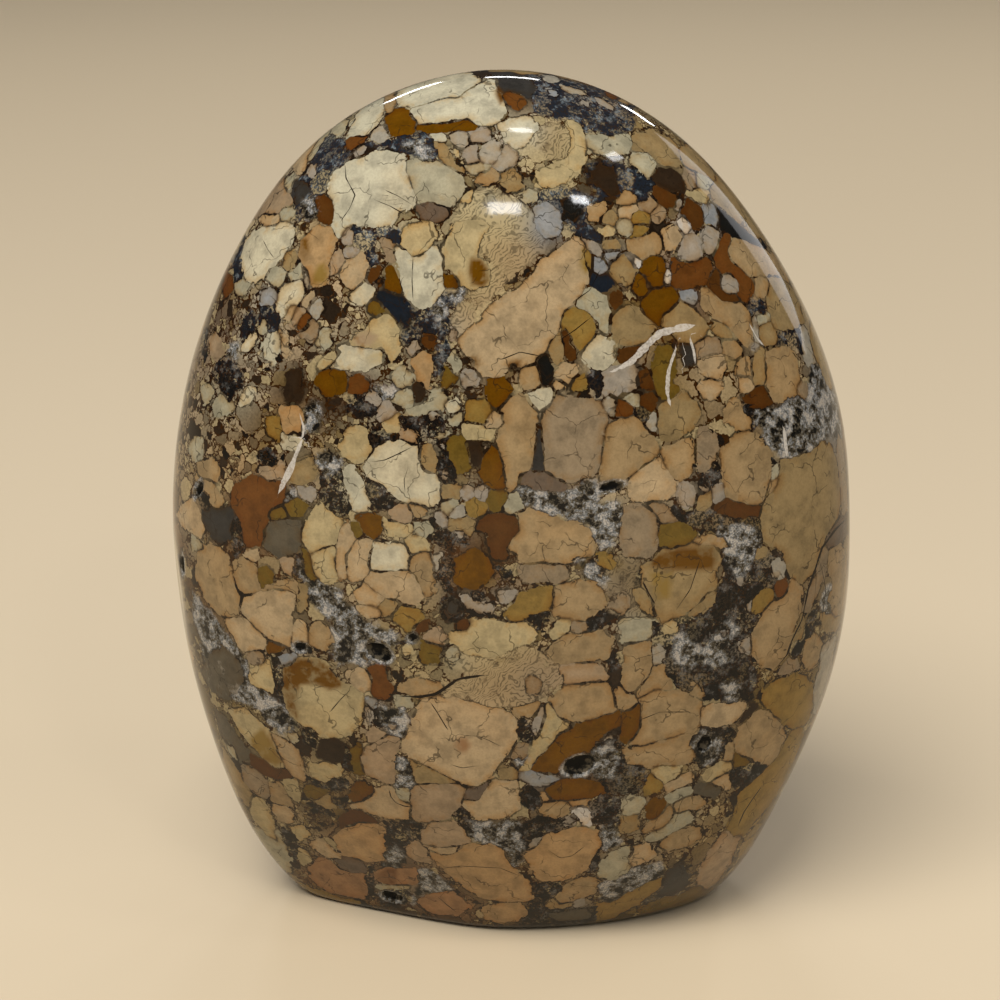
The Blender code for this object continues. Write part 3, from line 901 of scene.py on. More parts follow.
# How close clasts sit, as a share of their radii added up, and the seam between them.
SIDE_SPREAD = 0.80
SIDE_GAP_MM = 0.25
# A clast has at least the first number of edges and fewer than the second. Its edges are turned
# by up to a share of their even step, and stand off its middle by a share of its radius.
EDGE_COUNTS = (5, 9)
EDGE_TURN = 0.35
EDGE_REACHES = (0.72, 1.25)
# Up to how many radii, and then how many millimetres more, its points and neighbours are sought.
POINTS_WITHIN = (2.2, 3.0)
NEIGHBOURS_WITHIN = (2.6, 8.0)
# Points this far under a clast's plane are on another side of the stone.
BEHIND_MM = -18.0
# Crossed with a clast's normal, this gives a way along the clast's plane.
SLANT = (0.3, 0.2, 1.0)
# How far from its edge a scattered clast is written.
SCATTER_DEPTH_MM = -2.5
# How many round patches of each kind of ground there are, and the span of their radii.
PATCHES = {"soot": 34, "druse": 16, "crumb": 22, "solid": 30, "swirl": 8, "rust": 16}
PATCH_RADII = (3.0, 7.0)
SPOT_COUNT = 90
SPOT_REACHES = (5, 8)

# Colours and sizes as properties


def tone(name, description, red, green, blue):
    """A colour property whose default is given in the usual steps of 0 to 255."""
    steps = np.array((red, green, blue)) / 255
    linear = np.where(steps <= 0.04045, steps / 12.92, ((steps + 0.055) / 1.055) ** 2.4)
    return bpy.props.FloatVectorProperty(
        name=name,
        description=description,
        subtype="COLOR",
        size=3,
        min=0.0,
        max=1.0,
        default=tuple(linear.tolist()),
    )


class JasperTones(bpy.types.PropertyGroup):
    """The tones of the clasts, the ground and the stains."""

    cream: tone("Cream", "Palest clasts, near the top", 158, 150, 126)
    pale: tone("Pale", "Cool pale clasts", 160, 150, 124)
    bone: tone("Bone", "Greyish pale clasts", 138, 130, 106)
    straw: tone("Straw", "Yellowish clasts", 150, 133, 96)
    sand: tone("Sand", "Commonest light clasts", 147, 126, 94)
    rose: tone("Rose", "Pinkish clasts", 134, 113, 86)
    peach: tone("Peach", "Warm clasts of the lower part", 141, 113, 76)
    clay: tone("Clay", "Reddish clasts by the base", 127, 94, 62)
    tan: tone("Tan", "Commonest middle clasts", 132, 110, 77)
    khaki: tone("Khaki", "Greenish middle clasts", 123, 103, 69)
    taupe: tone("Taupe", "Grey-brown clasts", 121, 104, 80)
    mauve: tone("Mauve", "Purplish brown clasts", 88, 74, 60)
    honey: tone("Honey", "Golden brown clasts", 116, 92, 44)
    amber: tone("Amber", "Clear golden patches", 84, 53, 4)
    rust: tone("Rust", "Red-brown patches", 84, 50, 18)
    brown: tone("Brown", "Dark brown patches", 69, 41, 13)
    umber: tone("Umber", "Darkest brown ground", 40, 29, 18)
    olive: tone("Olive", "Greenish brown patches", 90, 70, 24)
    coal: tone("Coal", "Black ground", 20, 19, 16)
    navy: tone("Navy", "Blue-black ground", 23, 27, 33)
    slate: tone("Slate", "Dark blue-grey ground", 45, 42, 38)
    smoke: tone("Smoke", "Dark grey ground", 74, 66, 52)
    ash: tone("Ash", "Middle grey grains", 134, 126, 110)
    mist: tone("Mist", "Bluish quartz", 116, 116, 114)
    silver: tone("Silver", "Light grey quartz", 128, 118, 103)
    # White also paints glints and reflections on the polish.
    white: tone("White", "White veins and crystals", 168, 160, 148)


def length(name, description, default, unit="LENGTH"):
    return bpy.props.FloatProperty(
        name=name, description=description, default=default, min=0.0, unit=unit
    )


def power(name, description, default):
    return length(name, description, default, "POWER")


class StoneSizes(bpy.types.PropertyGroup):
    """The sizes of the ground shape and of its surface grid."""

    height: length("Height", "From the flat base to the top", 114 * MM)
    belly: length("Belly Height", "Height of the widest level", 53 * MM)
    rim: length("Rim Rounding", "Rounding between the side and the base", 1.2 * MM)
    flat_blend: length("Flat Blend", "How softly the ground flats run out", 1.5 * MM)
    columns: bpy.props.IntProperty(
        name="Columns", description="Faces round the stone", default=340, min=40
    )
    rows: bpy.props.IntProperty(
        name="Rows", description="Faces from the rim to the top", default=280, min=20
    )
    seed: bpy.props.IntProperty(
        name="Seed", description="Start of the unseen sides' pattern", default=11
    )


class StudioSettings(bpy.types.PropertyGroup):
    """The floor, the lamps and the sky."""

    floor_side: length("Floor Side", "Side of the square floor", 8.0)
    floor_tone: tone("Floor Tone", "Pale floor", 192, 174, 145)
    sky_tone: tone("Sky Tone", "Soft light from all round", 226, 228, 232)
    sky_strength: bpy.props.FloatProperty(
        name="Sky Strength", description="Brightness of the sky", default=0.28, min=0.0
    )
    key_power: power("Key Power", "Broad soft lamp, upper left", 24.0)
    fill_power: power("Fill Power", "Broad soft lamp, right", 2.5)
    rim_power: power("Rim Power", "Soft lamp behind the right side", 2.0)
    spot_power: power("Spot Power", "Each small lamp that glints on the polish", 0.45)


# The ground surface


def smooth_curve(places, values, at):
    """The natural cubic spline through values at places, read at each of at."""
    places = np.asarray(places, float)
    values = np.asarray(values, float)
    gaps = np.diff(places)
    slopes = np.diff(values) / gaps
    system = np.eye(len(places))
    bends = np.zeros(len(places))
    for i in range(1, len(places) - 1):
        system[i, i - 1 : i + 2] = gaps[i - 1], 2 * (gaps[i - 1] + gaps[i]), gaps[i]
        bends[i] = 6 * (slopes[i] - slopes[i - 1])
    bends = np.linalg.solve(system, bends)
    i = np.clip(np.searchsorted(places, at) - 1, 0, len(gaps) - 1)
    near = (np.asarray(at) - places[i]) / gaps[i]
    far = 1 - near
    bend = (far**3 - far) * bends[i] + (near**3 - near) * bends[i + 1]
    return far * values[i] + near * values[i + 1] + bend * gaps[i] ** 2 / 6


def ramp(value, low, high):
    """0 below low, 1 above high, and a smooth S between them."""
    share = np.clip((value - low) / (high - low), 0, 1)
    return share * share * (3 - 2 * share)


def drawn_in(x, y, inset):
    """The points moved level towards the axis by the inset, and no further than to it."""
    shrink = 1 - np.minimum(inset / np.maximum(np.hypot(x, y), 1e-6), 1)
    return x * shrink, y * shrink


class Ground:
    """The ground shape in millimetres, as a function of side and latitude in degrees."""

    def __init__(self, sizes):
        self.belly = sizes.belly / MM
        self.rise = (sizes.height - sizes.belly) / MM
        self.rim = sizes.rim / MM
        self.blend = sizes.flat_blend / MM
        base = -math.degrees(math.asin(self.belly / self.rise))
        self.latitudes = np.array((base,) + UPPER_LATITUDES)

    def over_the_top(self, first, second, latitude):
        """Half axes of opposite sides, from one curve that runs up one side and down the other."""
        places = np.append(self.latitudes, 180 - self.latitudes[-2::-1])
        curve = np.append(first, second[-2::-1])
        return smooth_curve(places, curve, latitude), smooth_curve(places, curve, 180 - latitude)

    def point(self, side, latitude):
        """Each level is an ellipse whose half axes go smoothly from side to side. It is made
        fuller between its axes by 1 - fullness * cos(4 side), then pressed in by the hollows,
        cut back to the flats and rounded under towards the base."""
        side, latitude = np.broadcast_arrays(np.asarray(side, float), np.asarray(latitude, float))
        right, left = self.over_the_top(RIGHT_MM, LEFT_MM, latitude)
        back, front = self.over_the_top(BACK_MM, FRONT_MM, latitude)
        turn = np.radians(side)
        across, along = np.cos(turn), np.sin(turn)
        half_width = (right + left) / 2 + (right - left) / 2 * across
        half_depth = (back + front) / 2 + (back - front) / 2 * along
        fuller = 1 - smooth_curve(self.latitudes, FULLNESS, latitude) * np.cos(4 * turn)
        level = fuller * np.cos(np.radians(latitude))
        x = half_width * across * level
        y = half_depth * along * level
        z = self.belly + self.rise * np.sin(np.radians(latitude))

        inset = np.zeros_like(x)
        for hollow_side, hollow_latitude, reach, depth in HOLLOWS:
            away = (side - hollow_side + 180) % 360 - 180
            apart = (away**2 + (latitude - hollow_latitude) ** 2) / reach**2
            inset += depth * np.exp(-apart)
        x, y = drawn_in(x, y, inset)

        for compass, tilt, distance in FLATS:
            compass, tilt = math.radians(compass), math.radians(tilt)
            level_way = x * math.cos(compass) + y * math.sin(compass)
            past = level_way * math.cos(tilt) + z * math.sin(tilt) - distance
            cut_back = (past + np.hypot(past, self.blend)) / 2 / math.cos(tilt)
            x = x - cut_back * math.cos(compass)
            y = y - cut_back * math.sin(compass)

        lift = np.clip(1 - z / self.rim, 0, 1)
        x, y = drawn_in(x, y, self.rim * (1 - np.sqrt(1 - lift**2)))
        return np.stack([x, y, np.maximum(z, 0)], axis=-1)


def paced(low, high, count, pace):
    """count + 1 values from low to high, closer together where pace is greater."""
    fine = np.linspace(low, high, PACE_STEPS)
    speed = pace(fine)
    run = np.concatenate([[0], np.cumsum(speed[1:] + speed[:-1])])
    return np.interp(np.linspace(0, run[-1], count + 1), run, fine)


def grid_angles(ground, columns, rows):
    """Sides and latitudes of the grid: about even steps along the surface, finer in front."""

    def side_pace(side):
        turn = np.radians(side)
        step = np.hypot(BELLY_HALF_WIDTH * np.sin(turn), BELLY_HALF_DEPTH * np.cos(turn))
        return step * (BACK_PACE + (1 - BACK_PACE) * ramp(-np.sin(turn), *BACK_FADE))

    def row_pace(latitude):
        turn = np.radians(latitude)
        return np.hypot(BELLY_HALF_DEPTH * np.sin(turn), ground.rise * np.cos(turn))

    sides = paced(SEAM_SIDE, SEAM_SIDE + 360, columns, side_pace)[:-1]
    step = np.linspace(0, math.pi / 2, RIM_ROWS + 1)
    rim_heights = ground.rim * (1 - np.cos(step))
    rim = np.degrees(np.arcsin((rim_heights - ground.belly) / ground.rise))
    upper = paced(rim[-1], 90, rows, row_pace)[1:-1]
    return sides, np.append(rim, upper)


def grid_normals(points):
    """Outward unit normals of a closed ring grid, from its steps along rows and columns."""
    along = np.roll(points, -1, axis=1) - np.roll(points, 1, axis=1)
    up = np.gradient(points, axis=0)
    normals = np.cross(along, up)
    return normals / np.maximum(np.linalg.norm(normals, axis=-1, keepdims=True), 1e-12)


def seen_at(points):
    """Where points appear in the main view, in pixels from its upper left corner."""
    away = points - EYE
    depth = away @ FORWARD
    x = PICTURE / 2 + FOCAL * away[..., 0] / depth
    y = PICTURE / 2 - FOCAL * (away @ UPWARD) / depth
    return np.stack([x, y], axis=-1)


class Skin:
    """The surface's points with what the pattern needs to know at each of them."""

    def __init__(self, points, normals):
        self.points = points
        self.normals = normals
        sight = points - EYE
        self.facing = -(normals * sight).sum(-1) / np.linalg.norm(sight, axis=-1)
        self.places = seen_at(points)
        first = np.cross(normals, (0.0, 0.0, 1.0))
        short = np.linalg.norm(first, axis=-1) < 1e-3
        first[short] = (1.0, 0.0, 0.0)
        first /= np.linalg.norm(first, axis=-1, keepdims=True)
        second = np.cross(normals, first)
        # How far a step of one millimetre along the surface goes in the picture.
        self.stretch = np.stack(
            [seen_at(points + first) - self.places, seen_at(points + second) - self.places], axis=1
        )

    def millimetres(self, chosen, gaps):
        """Lengths on the surface of gaps in the picture, at the chosen points."""
        apart = np.linalg.norm(gaps, axis=-1)
        way = gaps / np.maximum(apart, 1e-6)[:, None]
        pixels = np.linalg.norm((self.stretch[chosen] * way[:, None, :]).sum(-1), axis=-1)
        return apart / np.maximum(pixels, LEAST_STRETCH)


def gaps_to_line(places, start, end):
    """The gap from the nearest point of a broken line to each place, which piece of the line it
    is on, and the share of that piece, before it is held between the ends."""
    edge = end - start
    from_start = places[:, None, :] - start[None]
    share = (from_start * edge).sum(-1) / np.maximum((edge**2).sum(-1), 1e-9)
    gap = from_start - np.clip(share, 0, 1)[..., None] * edge
    nearest = (gap**2).sum(-1).argmin(axis=1)
    row = np.arange(len(places))
    return gap[row, nearest], nearest, share[row, nearest]


def near_places(skin, corners, margin):
    """Indices of the points that appear near these corners and aren't round the back."""
    low, high = corners.min(axis=0) - margin, corners.max(axis=0) + margin
    inside = ((skin.places > low) & (skin.places < high)).all(axis=1)
    return np.flatnonzero(inside & (skin.facing > HIDDEN_REACH))


def outline_depth(skin, chosen, corners):
    """Signed distance in millimetres from an outline, positive inside. It is the gap to the
    nearest edge in the picture, turned into a length on the surface along the same way."""
    places = skin.places[chosen]
    start, end = corners, np.roll(corners, -1, axis=0)
    gap, _, _ = gaps_to_line(places, start, end)
    depth = skin.millimetres(chosen, gap)
    x, y = places[:, :1], places[:, 1:]
    spans = (start[:, 1] > y) != (end[:, 1] > y)
    rise = np.where(end[:, 1] == start[:, 1], 1e-9, end[:, 1] - start[:, 1])
    crossing = x < start[:, 0] + (y - start[:, 1]) / rise * (end[:, 0] - start[:, 0])
    inside = (spans & crossing).sum(axis=1) % 2 == 1
    return np.where(inside, depth, -depth)


def pairs_of(words):
    return np.array([[float(number) for number in word.split(",")] for word in words])


def drawn_outlines(skin, text):
    """For each line of a text, its first word, the indices of points near the outline that the
    rest of the line draws, and the depth inside it there."""
    for line in text.strip().splitlines():
        name, *words = line.split()
        corners = pairs_of(words)
        chosen = near_places(skin, corners, PICTURE_MARGIN)
        if len(chosen):
            yield name, chosen, outline_depth(skin, chosen, corners)


def drawn_clasts(skin, tones, rng):
    """The clasts drawn by their outlines: tone, indices of points near them and depth there."""
    clasts = []
    for name, chosen, depth in drawn_outlines(skin, CLASTS):
        end = rng.uniform(*ROUND_THE_EDGE)
        depth = np.minimum(depth, (skin.facing[chosen] - end) * EDGE_RADIUS)
        near = depth > FAR_MM
        shade = rng.uniform(*DRAWN_SHADES)
        clasts.append((tones[name] * shade, chosen[near], depth[near]))
    return clasts


def deepest(skin, clasts):
    """The greatest depth of any clast at each point."""
    depth = np.full(len(skin.points), FAR_MM)
    for _, chosen, found in clasts:
        depth[chosen] = np.maximum(depth[chosen], found)
    return depth


def scattered_seeds(skin, taken, allowed, rng):
    """Middles and radii of clasts dropped at random, larger ones first, each clear of those
    before it and of the points that are taken."""
    seeds, sizes = np.empty((0, 3)), np.empty(0)
    where = np.flatnonzero(allowed)
    for radius, tries in SIDE_RADII:
        for i in rng.choice(where, min(tries, len(where)), replace=False):
            if taken[i] > -SIDE_SPREAD * radius:
                continue
            here = skin.points[i]
            apart = np.linalg.norm(seeds - here, axis=1)
            if (apart < SIDE_SPREAD * (sizes + radius)).any():
                continue
            seeds = np.vstack([seeds, here])
            sizes = np.append(sizes, radius)
    return seeds, sizes


def scattered_clasts(skin, seeds, sizes, taken, pick_tone, rng):
    """Angular clasts round the seeds. Each is cut by a few straight sides in the plane that
    touches the surface at its middle, by the planes between it and its neighbours, and by
    whatever was there before it."""
    clasts = []
    for n, (seed, size) in enumerate(zip(seeds, sizes)):
        away = skin.points - seed
        apart = np.linalg.norm(away, axis=1)
        chosen = np.flatnonzero(apart < size * POINTS_WITHIN[0] + POINTS_WITHIN[1])
        away, apart = away[chosen], apart[chosen]
        normal = skin.normals[chosen[apart.argmin()]]
        level = np.cross(normal, SLANT)
        level /= np.linalg.norm(level)
        flat = np.stack([away @ level, away @ np.cross(normal, level)], axis=-1)
        count = rng.integers(*EDGE_COUNTS)
        turns = np.arange(count) + rng.uniform(-EDGE_TURN, EDGE_TURN, count)
        turns = turns * 2 * math.pi / count
        ways = np.stack([np.cos(turns), np.sin(turns)])
        reach = size * rng.uniform(*EDGE_REACHES, count)
        depth = (reach - flat @ ways).min(axis=1)
        reach = size * NEIGHBOURS_WITHIN[0] + NEIGHBOURS_WITHIN[1]
        for other in np.flatnonzero(np.linalg.norm(seeds - seed, axis=1) < reach):
            if other == n:
                continue
            between = np.linalg.norm(seeds[other] - seed)
            others = ((skin.points[chosen] - seeds[other]) ** 2).sum(-1) - sizes[other] ** 2
            cut = (others - apart**2 + size**2) / (2 * between)
            depth = np.minimum(depth, cut - SIDE_GAP_MM / 2)
        depth = np.minimum(depth, -taken[chosen] - SIDE_GAP_MM)
        depth = np.where(away @ normal < BEHIND_MM, FAR_MM, depth)
        near = depth > SCATTER_DEPTH_MM
        if (depth > 0).any():
            clasts.append((pick_tone(), chosen[near], depth[near]))
    return clasts


def near_clast_tones(skin, clasts, ground):
    """The ground's tone, drawn towards the tones of the clasts round each point. A clast's weight
    is exp(depth / reach), where its depth is less than 0 outside it."""
    total = ground * GROUND_WEIGHT
    weight = np.full((len(skin.points), 1), GROUND_WEIGHT)
    for clast_tone, chosen, depth in clasts:
        own = np.exp(np.minimum(depth, 0) / CLAST_REACH_MM)[:, None]
        total[chosen] += own * clast_tone
        weight[chosen] += own
    return total / weight


def in_sets(clasts):
    """Which set each clast goes in, so that clasts of one set never touch: those with the most
    neighbours choose first, among the sets that no chosen neighbour has."""
    owner = np.concatenate([np.full(len(c[1]), n) for n, c in enumerate(clasts)])
    place = np.concatenate([c[1] for c in clasts])
    depth = np.concatenate([c[2] for c in clasts])
    close = depth > TOUCH_MM
    owner, place = owner[close], place[close]
    order = np.lexsort((owner, place))
    owner, place = owner[order], place[order]
    touching = np.zeros((len(clasts), len(clasts)), bool)
    for step in range(1, STACK):
        same = place[step:] == place[:-step]
        touching[owner[step:][same], owner[:-step][same]] = True
    touching |= touching.T
    left = touching.astype(int)
    remaining = np.ones(len(clasts), bool)
    turn = []
    for _ in clasts:
        degrees = np.where(remaining, left.sum(axis=1), len(clasts) + 1)
        n = int(degrees.argmin())
        turn.append(n)
        remaining[n] = False
        left[:, n] = 0
    found = np.full(len(clasts), -1)
    for n in turn[::-1]:
        used = np.bincount(found[touching[n] & (found >= 0)], minlength=SET_COUNT)
        found[n] = int(used.argmin())
    return found


def set_attributes(skin, clasts):
    """For each set, the depth and the tone of its nearest clast at each point."""
    found = in_sets(clasts)
    layers = []
    for number in range(SET_COUNT):
        depth = np.full(len(skin.points), FAR_MM)
        tint = np.zeros((len(skin.points), 4))
        tint[:, 3] = 1
        for n in np.flatnonzero(found == number):
            clast_tone, chosen, own = clasts[n]
            better = own > depth[chosen]
            depth[chosen[better]] = own[better]
            tint[chosen[better], :3] = clast_tone
        layers.append((depth, tint))
    return layers


def zone_masks(skin, front, rng):
    """How much each kind of ground there is at each point: 0.5 on the edge of a zone, rising to 1
    inside it. In front the zones are drawn by their outlines, and on the other sides they are
    round patches at random."""
    hidden = np.flatnonzero(skin.facing < PATCHES_BELOW)
    masks = {}
    drawn = list(drawn_outlines(skin, ZONES))
    for kind, count in PATCHES.items():
        depth = np.full(len(skin.points), FAR_MM)
        for i in rng.choice(hidden, count, replace=False):
            reach = rng.uniform(*PATCH_RADII)
            apart = np.linalg.norm(skin.points - skin.points[i], axis=1)
            depth = np.maximum(depth, (reach - apart) * (1 - front) + FAR_MM * front)
        for name, chosen, found in drawn:
            if name == kind:
                depth[chosen] = np.maximum(depth[chosen], found)
        masks[kind] = np.clip(0.5 + depth / ZONE_SOFTNESS_MM, 0, 1)
    return masks


def blended_tones(places, bells):
    """An average of the tones of the bells, each weighted at each place by exp(-(d / reach)**2),
    where d is the distance from the bell's middle."""
    total = np.zeros((len(places), 3))
    weight = np.full(len(places), 1e-9)
    for middle, reach, bell_tone in bells:
        bell = np.exp(-((places - middle) ** 2).sum(-1) / reach**2)
        total += bell[:, None] * bell_tone
        weight += bell
    return total / weight[:, None]


def ground_tones(skin, tones, front, rng):
    """The tone of the ground: in front from the listed places, elsewhere from random ones."""
    words = GROUND.split()
    names, places = words[::2], pairs_of(words[1::2])
    listed = [(place[:2], place[2], tones[name]) for name, place in zip(names, places)]
    scattered = []
    for i in rng.choice(np.flatnonzero(skin.facing < SPOTS_BELOW), SPOT_COUNT, replace=False):
        reach = rng.uniform(*SPOT_REACHES)
        scattered.append((skin.points[i], reach, tones[names[rng.integers(len(names))]]))
    drawn = blended_tones(skin.places, listed)
    other = blended_tones(skin.points, scattered)
    return drawn * front[:, None] + other * (1 - front[:, None])


def stain_layer(skin, tones, front):
    """The colour and the strength of the stain that reaches furthest over each point."""
    tint = np.zeros((len(skin.points), 3))
    deepest_stain = np.full(len(skin.points), FAR_MM)
    for name, chosen, depth in drawn_outlines(skin, STAINS):
        more = depth > deepest_stain[chosen]
        tint[chosen[more]] = tones[name]
        deepest_stain[chosen[more]] = depth[more]
    strength = ramp(deepest_stain, -STAIN_SOFTNESS_MM, STAIN_SOFTNESS_MM) * front
    return np.column_stack([tint, strength])


def line_layer(skin, text):
    """For the nearest of the lines: the signed distance across it, and half its breadth there,
    which runs out to nothing past the ends."""
    across = np.full(len(skin.points), NO_LINE_MM)
    half = np.zeros(len(skin.points))
    for line in text.strip().splitlines():
        breadth, *words = line.split()
        corners = pairs_of(words)
        chosen = near_places(skin, corners, LINE_MARGIN)
        start, end = corners[:-1], corners[1:]
        gap, piece, share = gaps_to_line(skin.places[chosen], start, end)
        apart = skin.millimetres(chosen, gap)
        edge = (end - start)[piece]
        side = np.where(edge[:, 0] * gap[:, 1] - edge[:, 1] * gap[:, 0] > 0, 1.0, -1.0)
        run = (piece + np.clip(share, 0, 1)) / len(start)
        past = ((piece == 0) & (share < 0)) | ((piece == len(start) - 1) & (share > 1))
        full = np.minimum(ramp(run, *LINE_TAPER), ramp(1 - run, *LINE_TAPER))
        share_left = LINE_END_BREADTH + (1 - LINE_END_BREADTH) * full
        width = float(breadth) / 2 * np.where(past, 0, share_left)
        better = apart < np.abs(across[chosen])
        across[chosen[better]] = (apart * side)[better]
        half[chosen[better]] = np.where(apart < LINE_REACH_MM, width, 0)[better]
    return across, half


def sink_pits(ground, points, normals, centre):
    """Presses the pits in, and gives the distance inside the nearest pit's rim. A pit is an
    ellipse on the surface whose floor drops by depth * sqrt(1 - r**2)."""
    inside = np.full(points.shape[:-1], FAR_MM)
    drop = np.zeros(points.shape[:-1])
    for side, latitude, turn, length_mm, width_mm, depth in PITS:
        here = ground.point(side, latitude) - centre
        along = ground.point(side + PIT_STEP, latitude) - centre - here
        along /= np.linalg.norm(along)
        up = ground.point(side, latitude + PIT_STEP) - centre - here
        out = np.cross(along, up)
        out /= np.linalg.norm(out)
        up = np.cross(out, along)
        away = points - here
        turn = math.radians(turn)
        x = away @ (along * math.cos(turn) + up * math.sin(turn))
        y = away @ (up * math.cos(turn) - along * math.sin(turn))
        edge = np.hypot(x / (length_mm / 2), y / (width_mm / 2))
        edge = np.where(np.abs(away @ out) < PIT_REACH, edge, FAR_RADII)
        inside = np.maximum(inside, (1 - edge) * width_mm / 2)
        drop = np.maximum(drop, depth * np.sqrt(np.clip(1 - edge**2, 0, 1)))
    return points - drop[..., None] * normals, inside


def closed_grid(points, top, bottom):
    """Faces of a ring grid closed by a fan at the top and one at the base, with a sheet position
    for each corner: the grid fills most of the sheet and the base a strip under it."""
    rows, columns = points.shape[:2]
    index = np.arange(rows * columns).reshape(rows, columns)
    after = np.roll(index, -1, axis=1)
    quads = np.stack([index[:-1], after[:-1], after[1:], index[1:]], axis=-1).reshape(-1, 4)
    top_fan = np.stack([index[-1], after[-1], np.full(columns, top)], axis=-1)
    base_fan = np.stack([after[0], index[0], np.full(columns, bottom)], axis=-1)
    step = np.arange(columns) / columns
    u = np.stack([step, step + 1 / columns], axis=-1)
    v = SHEET_BASE + (1 - SHEET_BASE) * np.arange(rows) / rows
    corners_u = np.broadcast_to(u[None][..., [0, 1, 1, 0]], (rows - 1, columns, 4))
    low, high = v[:-1, None, None], v[1:, None, None]
    corners_v = np.concatenate([low, low, high, high], axis=-1)
    quad_uv = np.stack([corners_u, np.broadcast_to(corners_v, corners_u.shape)], axis=-1)
    middle = u.mean(axis=1)
    top_u = np.stack([u[:, 0], u[:, 1], middle], axis=-1)
    top_v = np.broadcast_to((v[-1], v[-1], 1.0), top_u.shape)
    base_u = np.stack([u[:, 1], u[:, 0], middle], axis=-1)
    rim_v = SHEET_BASE * BASE_FILL
    base_v = np.broadcast_to((rim_v, rim_v, 0.0), base_u.shape)
    sheet = np.concatenate([
        quad_uv.reshape(-1, 2),
        np.stack([top_u, top_v], axis=-1).reshape(-1, 2),
        np.stack([base_u, base_v], axis=-1).reshape(-1, 2),
    ])
    return quads.tolist() + top_fan.tolist() + base_fan.tolist(), sheet


def write_attribute(mesh, name, values):
    """Puts one number or one colour per point into the mesh."""
    kind, field = ("FLOAT_COLOR", "color") if values.ndim == 2 else ("FLOAT", "value")
    layer = mesh.attributes.new(name, kind, "POINT")
    layer.data.foreach_set(field, values.astype(np.float32).ravel())


def with_alpha(colours):
    return np.column_stack([colours, np.ones(len(colours))])


def pattern_attributes(skin, tones, seed):
    """Everything the material reads from the surface, by name."""
    rng = np.random.default_rng(seed)
    front = ramp(skin.facing, *FRONT_FADE)
    clasts = drawn_clasts(skin, tones, rng)
    taken = deepest(skin, clasts)
    zones = zone_masks(skin, front, rng)
    ground = ground_tones(skin, tones, front, rng)

    def side_tone():
        name = rng.choice(list(SIDE_TONES), p=np.array(list(SIDE_TONES.values())) / 100)
        return tones[name] * rng.uniform(*SIDE_SHADES)

    # Painted shade: no clasts along the foot of the hidden sides.
    hidden = (skin.facing < CLASTS_BELOW) & (skin.points[:, 2] > SHADED_FOOT_MM)
    seeds, sizes = scattered_seeds(skin, taken, hidden, rng)
    clasts += scattered_clasts(skin, seeds, sizes, taken, side_tone, rng)

    layers = {}
    for number, (depth, tint) in enumerate(set_attributes(skin, clasts), 1):
        layers[f"clast_depth_{number}"] = depth
        layers[f"clast_tone_{number}"] = tint
    ground = near_clast_tones(skin, clasts, ground)
    for kind, mask in zones.items():
        layers[f"zone_{kind}"] = mask
    layers["ground_tone"] = with_alpha(ground)
    layers["stain"] = stain_layer(skin, tones, front)
    layers["vein_across"], layers["vein_half"] = line_layer(skin, VEINS_AND_GLINTS)
    layers["crack_across"], layers["crack_half"] = line_layer(skin, CRACKS)
    return layers


def stone_mesh(ground, sizes, tones):
    """The closed grid over the ground shape, centred over its box, with its pits pressed in and
    the pattern written on it."""
    sides, latitudes = grid_angles(ground, sizes.columns, sizes.rows)
    points = ground.point(sides[None, :], latitudes[:, None])
    flat = points.reshape(-1, 3)
    centre = (flat.min(axis=0) + flat.max(axis=0)) / 2
    centre[2] = 0
    points = points - centre
    normals = grid_normals(points)
    pitted, pit_depth = sink_pits(ground, points, normals, centre)
    ends = np.array([ground.point(0, 90) - centre, (0, 0, 0)])
    skin = Skin(
        np.concatenate([points.reshape(-1, 3), ends]),
        np.concatenate([normals.reshape(-1, 3), [(0, 0, 1), (0, 0, -1)]]),
    )
    count = points.shape[0] * points.shape[1]
    faces, sheet = closed_grid(points, count, count + 1)
    mesh = bpy.data.meshes.new("polished_stone")
    all_points = np.concatenate([pitted.reshape(-1, 3), ends]) * MM
    mesh.from_pydata(all_points.tolist(), [], faces)
    mesh.shade_smooth()
    on_base = np.arange(len(faces)) >= len(faces) - sizes.columns
    mesh.polygons.foreach_set("use_smooth", ~on_base)
    mesh.uv_layers.new(name="OFBake").uv.foreach_set("vector", sheet.ravel())
    for name, values in pattern_attributes(skin, tones, sizes.seed).items():
        write_attribute(mesh, name, values)
    write_attribute(mesh, "pit_depth", np.append(pit_depth.ravel(), (FAR_MM, FAR_MM)))
    return mesh


class JASPER_OT_stone(bpy.types.Operator):
    """Builds the polished stone over the ground shape of the solid"""

    bl_idname = "jasper.stone"
    bl_label = "Stone"
    bl_options = {"REGISTER", "UNDO"}

    def execute(self, context):
        sizes = context.scene.jasper_sizes
        palette = context.scene.jasper_tones
        tones = {name: np.array(getattr(palette, name)) for name in JasperTones.__annotations__}
        mesh = stone_mesh(Ground(sizes), sizes, tones)
        mesh.materials.append(polished_jasper(tones))
        stone = bpy.data.objects.new("polished_stone", mesh)
        context.scene.collection.objects.link(stone)
        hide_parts("jasper_freeform")
        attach(stone, "root")
        return {"FINISHED"}

# Finishes

NUMBER, COLOUR, VECTOR = "NodeSocketFloat", "NodeSocketColor", "NodeSocketVector"
# Cell size and crack breadth in millimetres of the three grades of broken rock.
LARGE_BITS, MIDDLING_BITS, TINY_BITS = (3.0, 0.10), (1.4, 0.06), (0.65, 0.03)
# Spacing and breadth in millimetres, and how much of the surface has hairlines at all.
HAIRLINES = {"Spacing": 5.6, "Breadth": 0.09, "Share": 0.50}
# The way across the wavy lines, and the radians of their wave that go on a millimetre.
ACROSS_WAVES = (0.6, 0.0, -0.8)
WAVE_RATE = 12.0
# How far clast edges are moved out over plain ground.
GROWTH_MM = 0.55
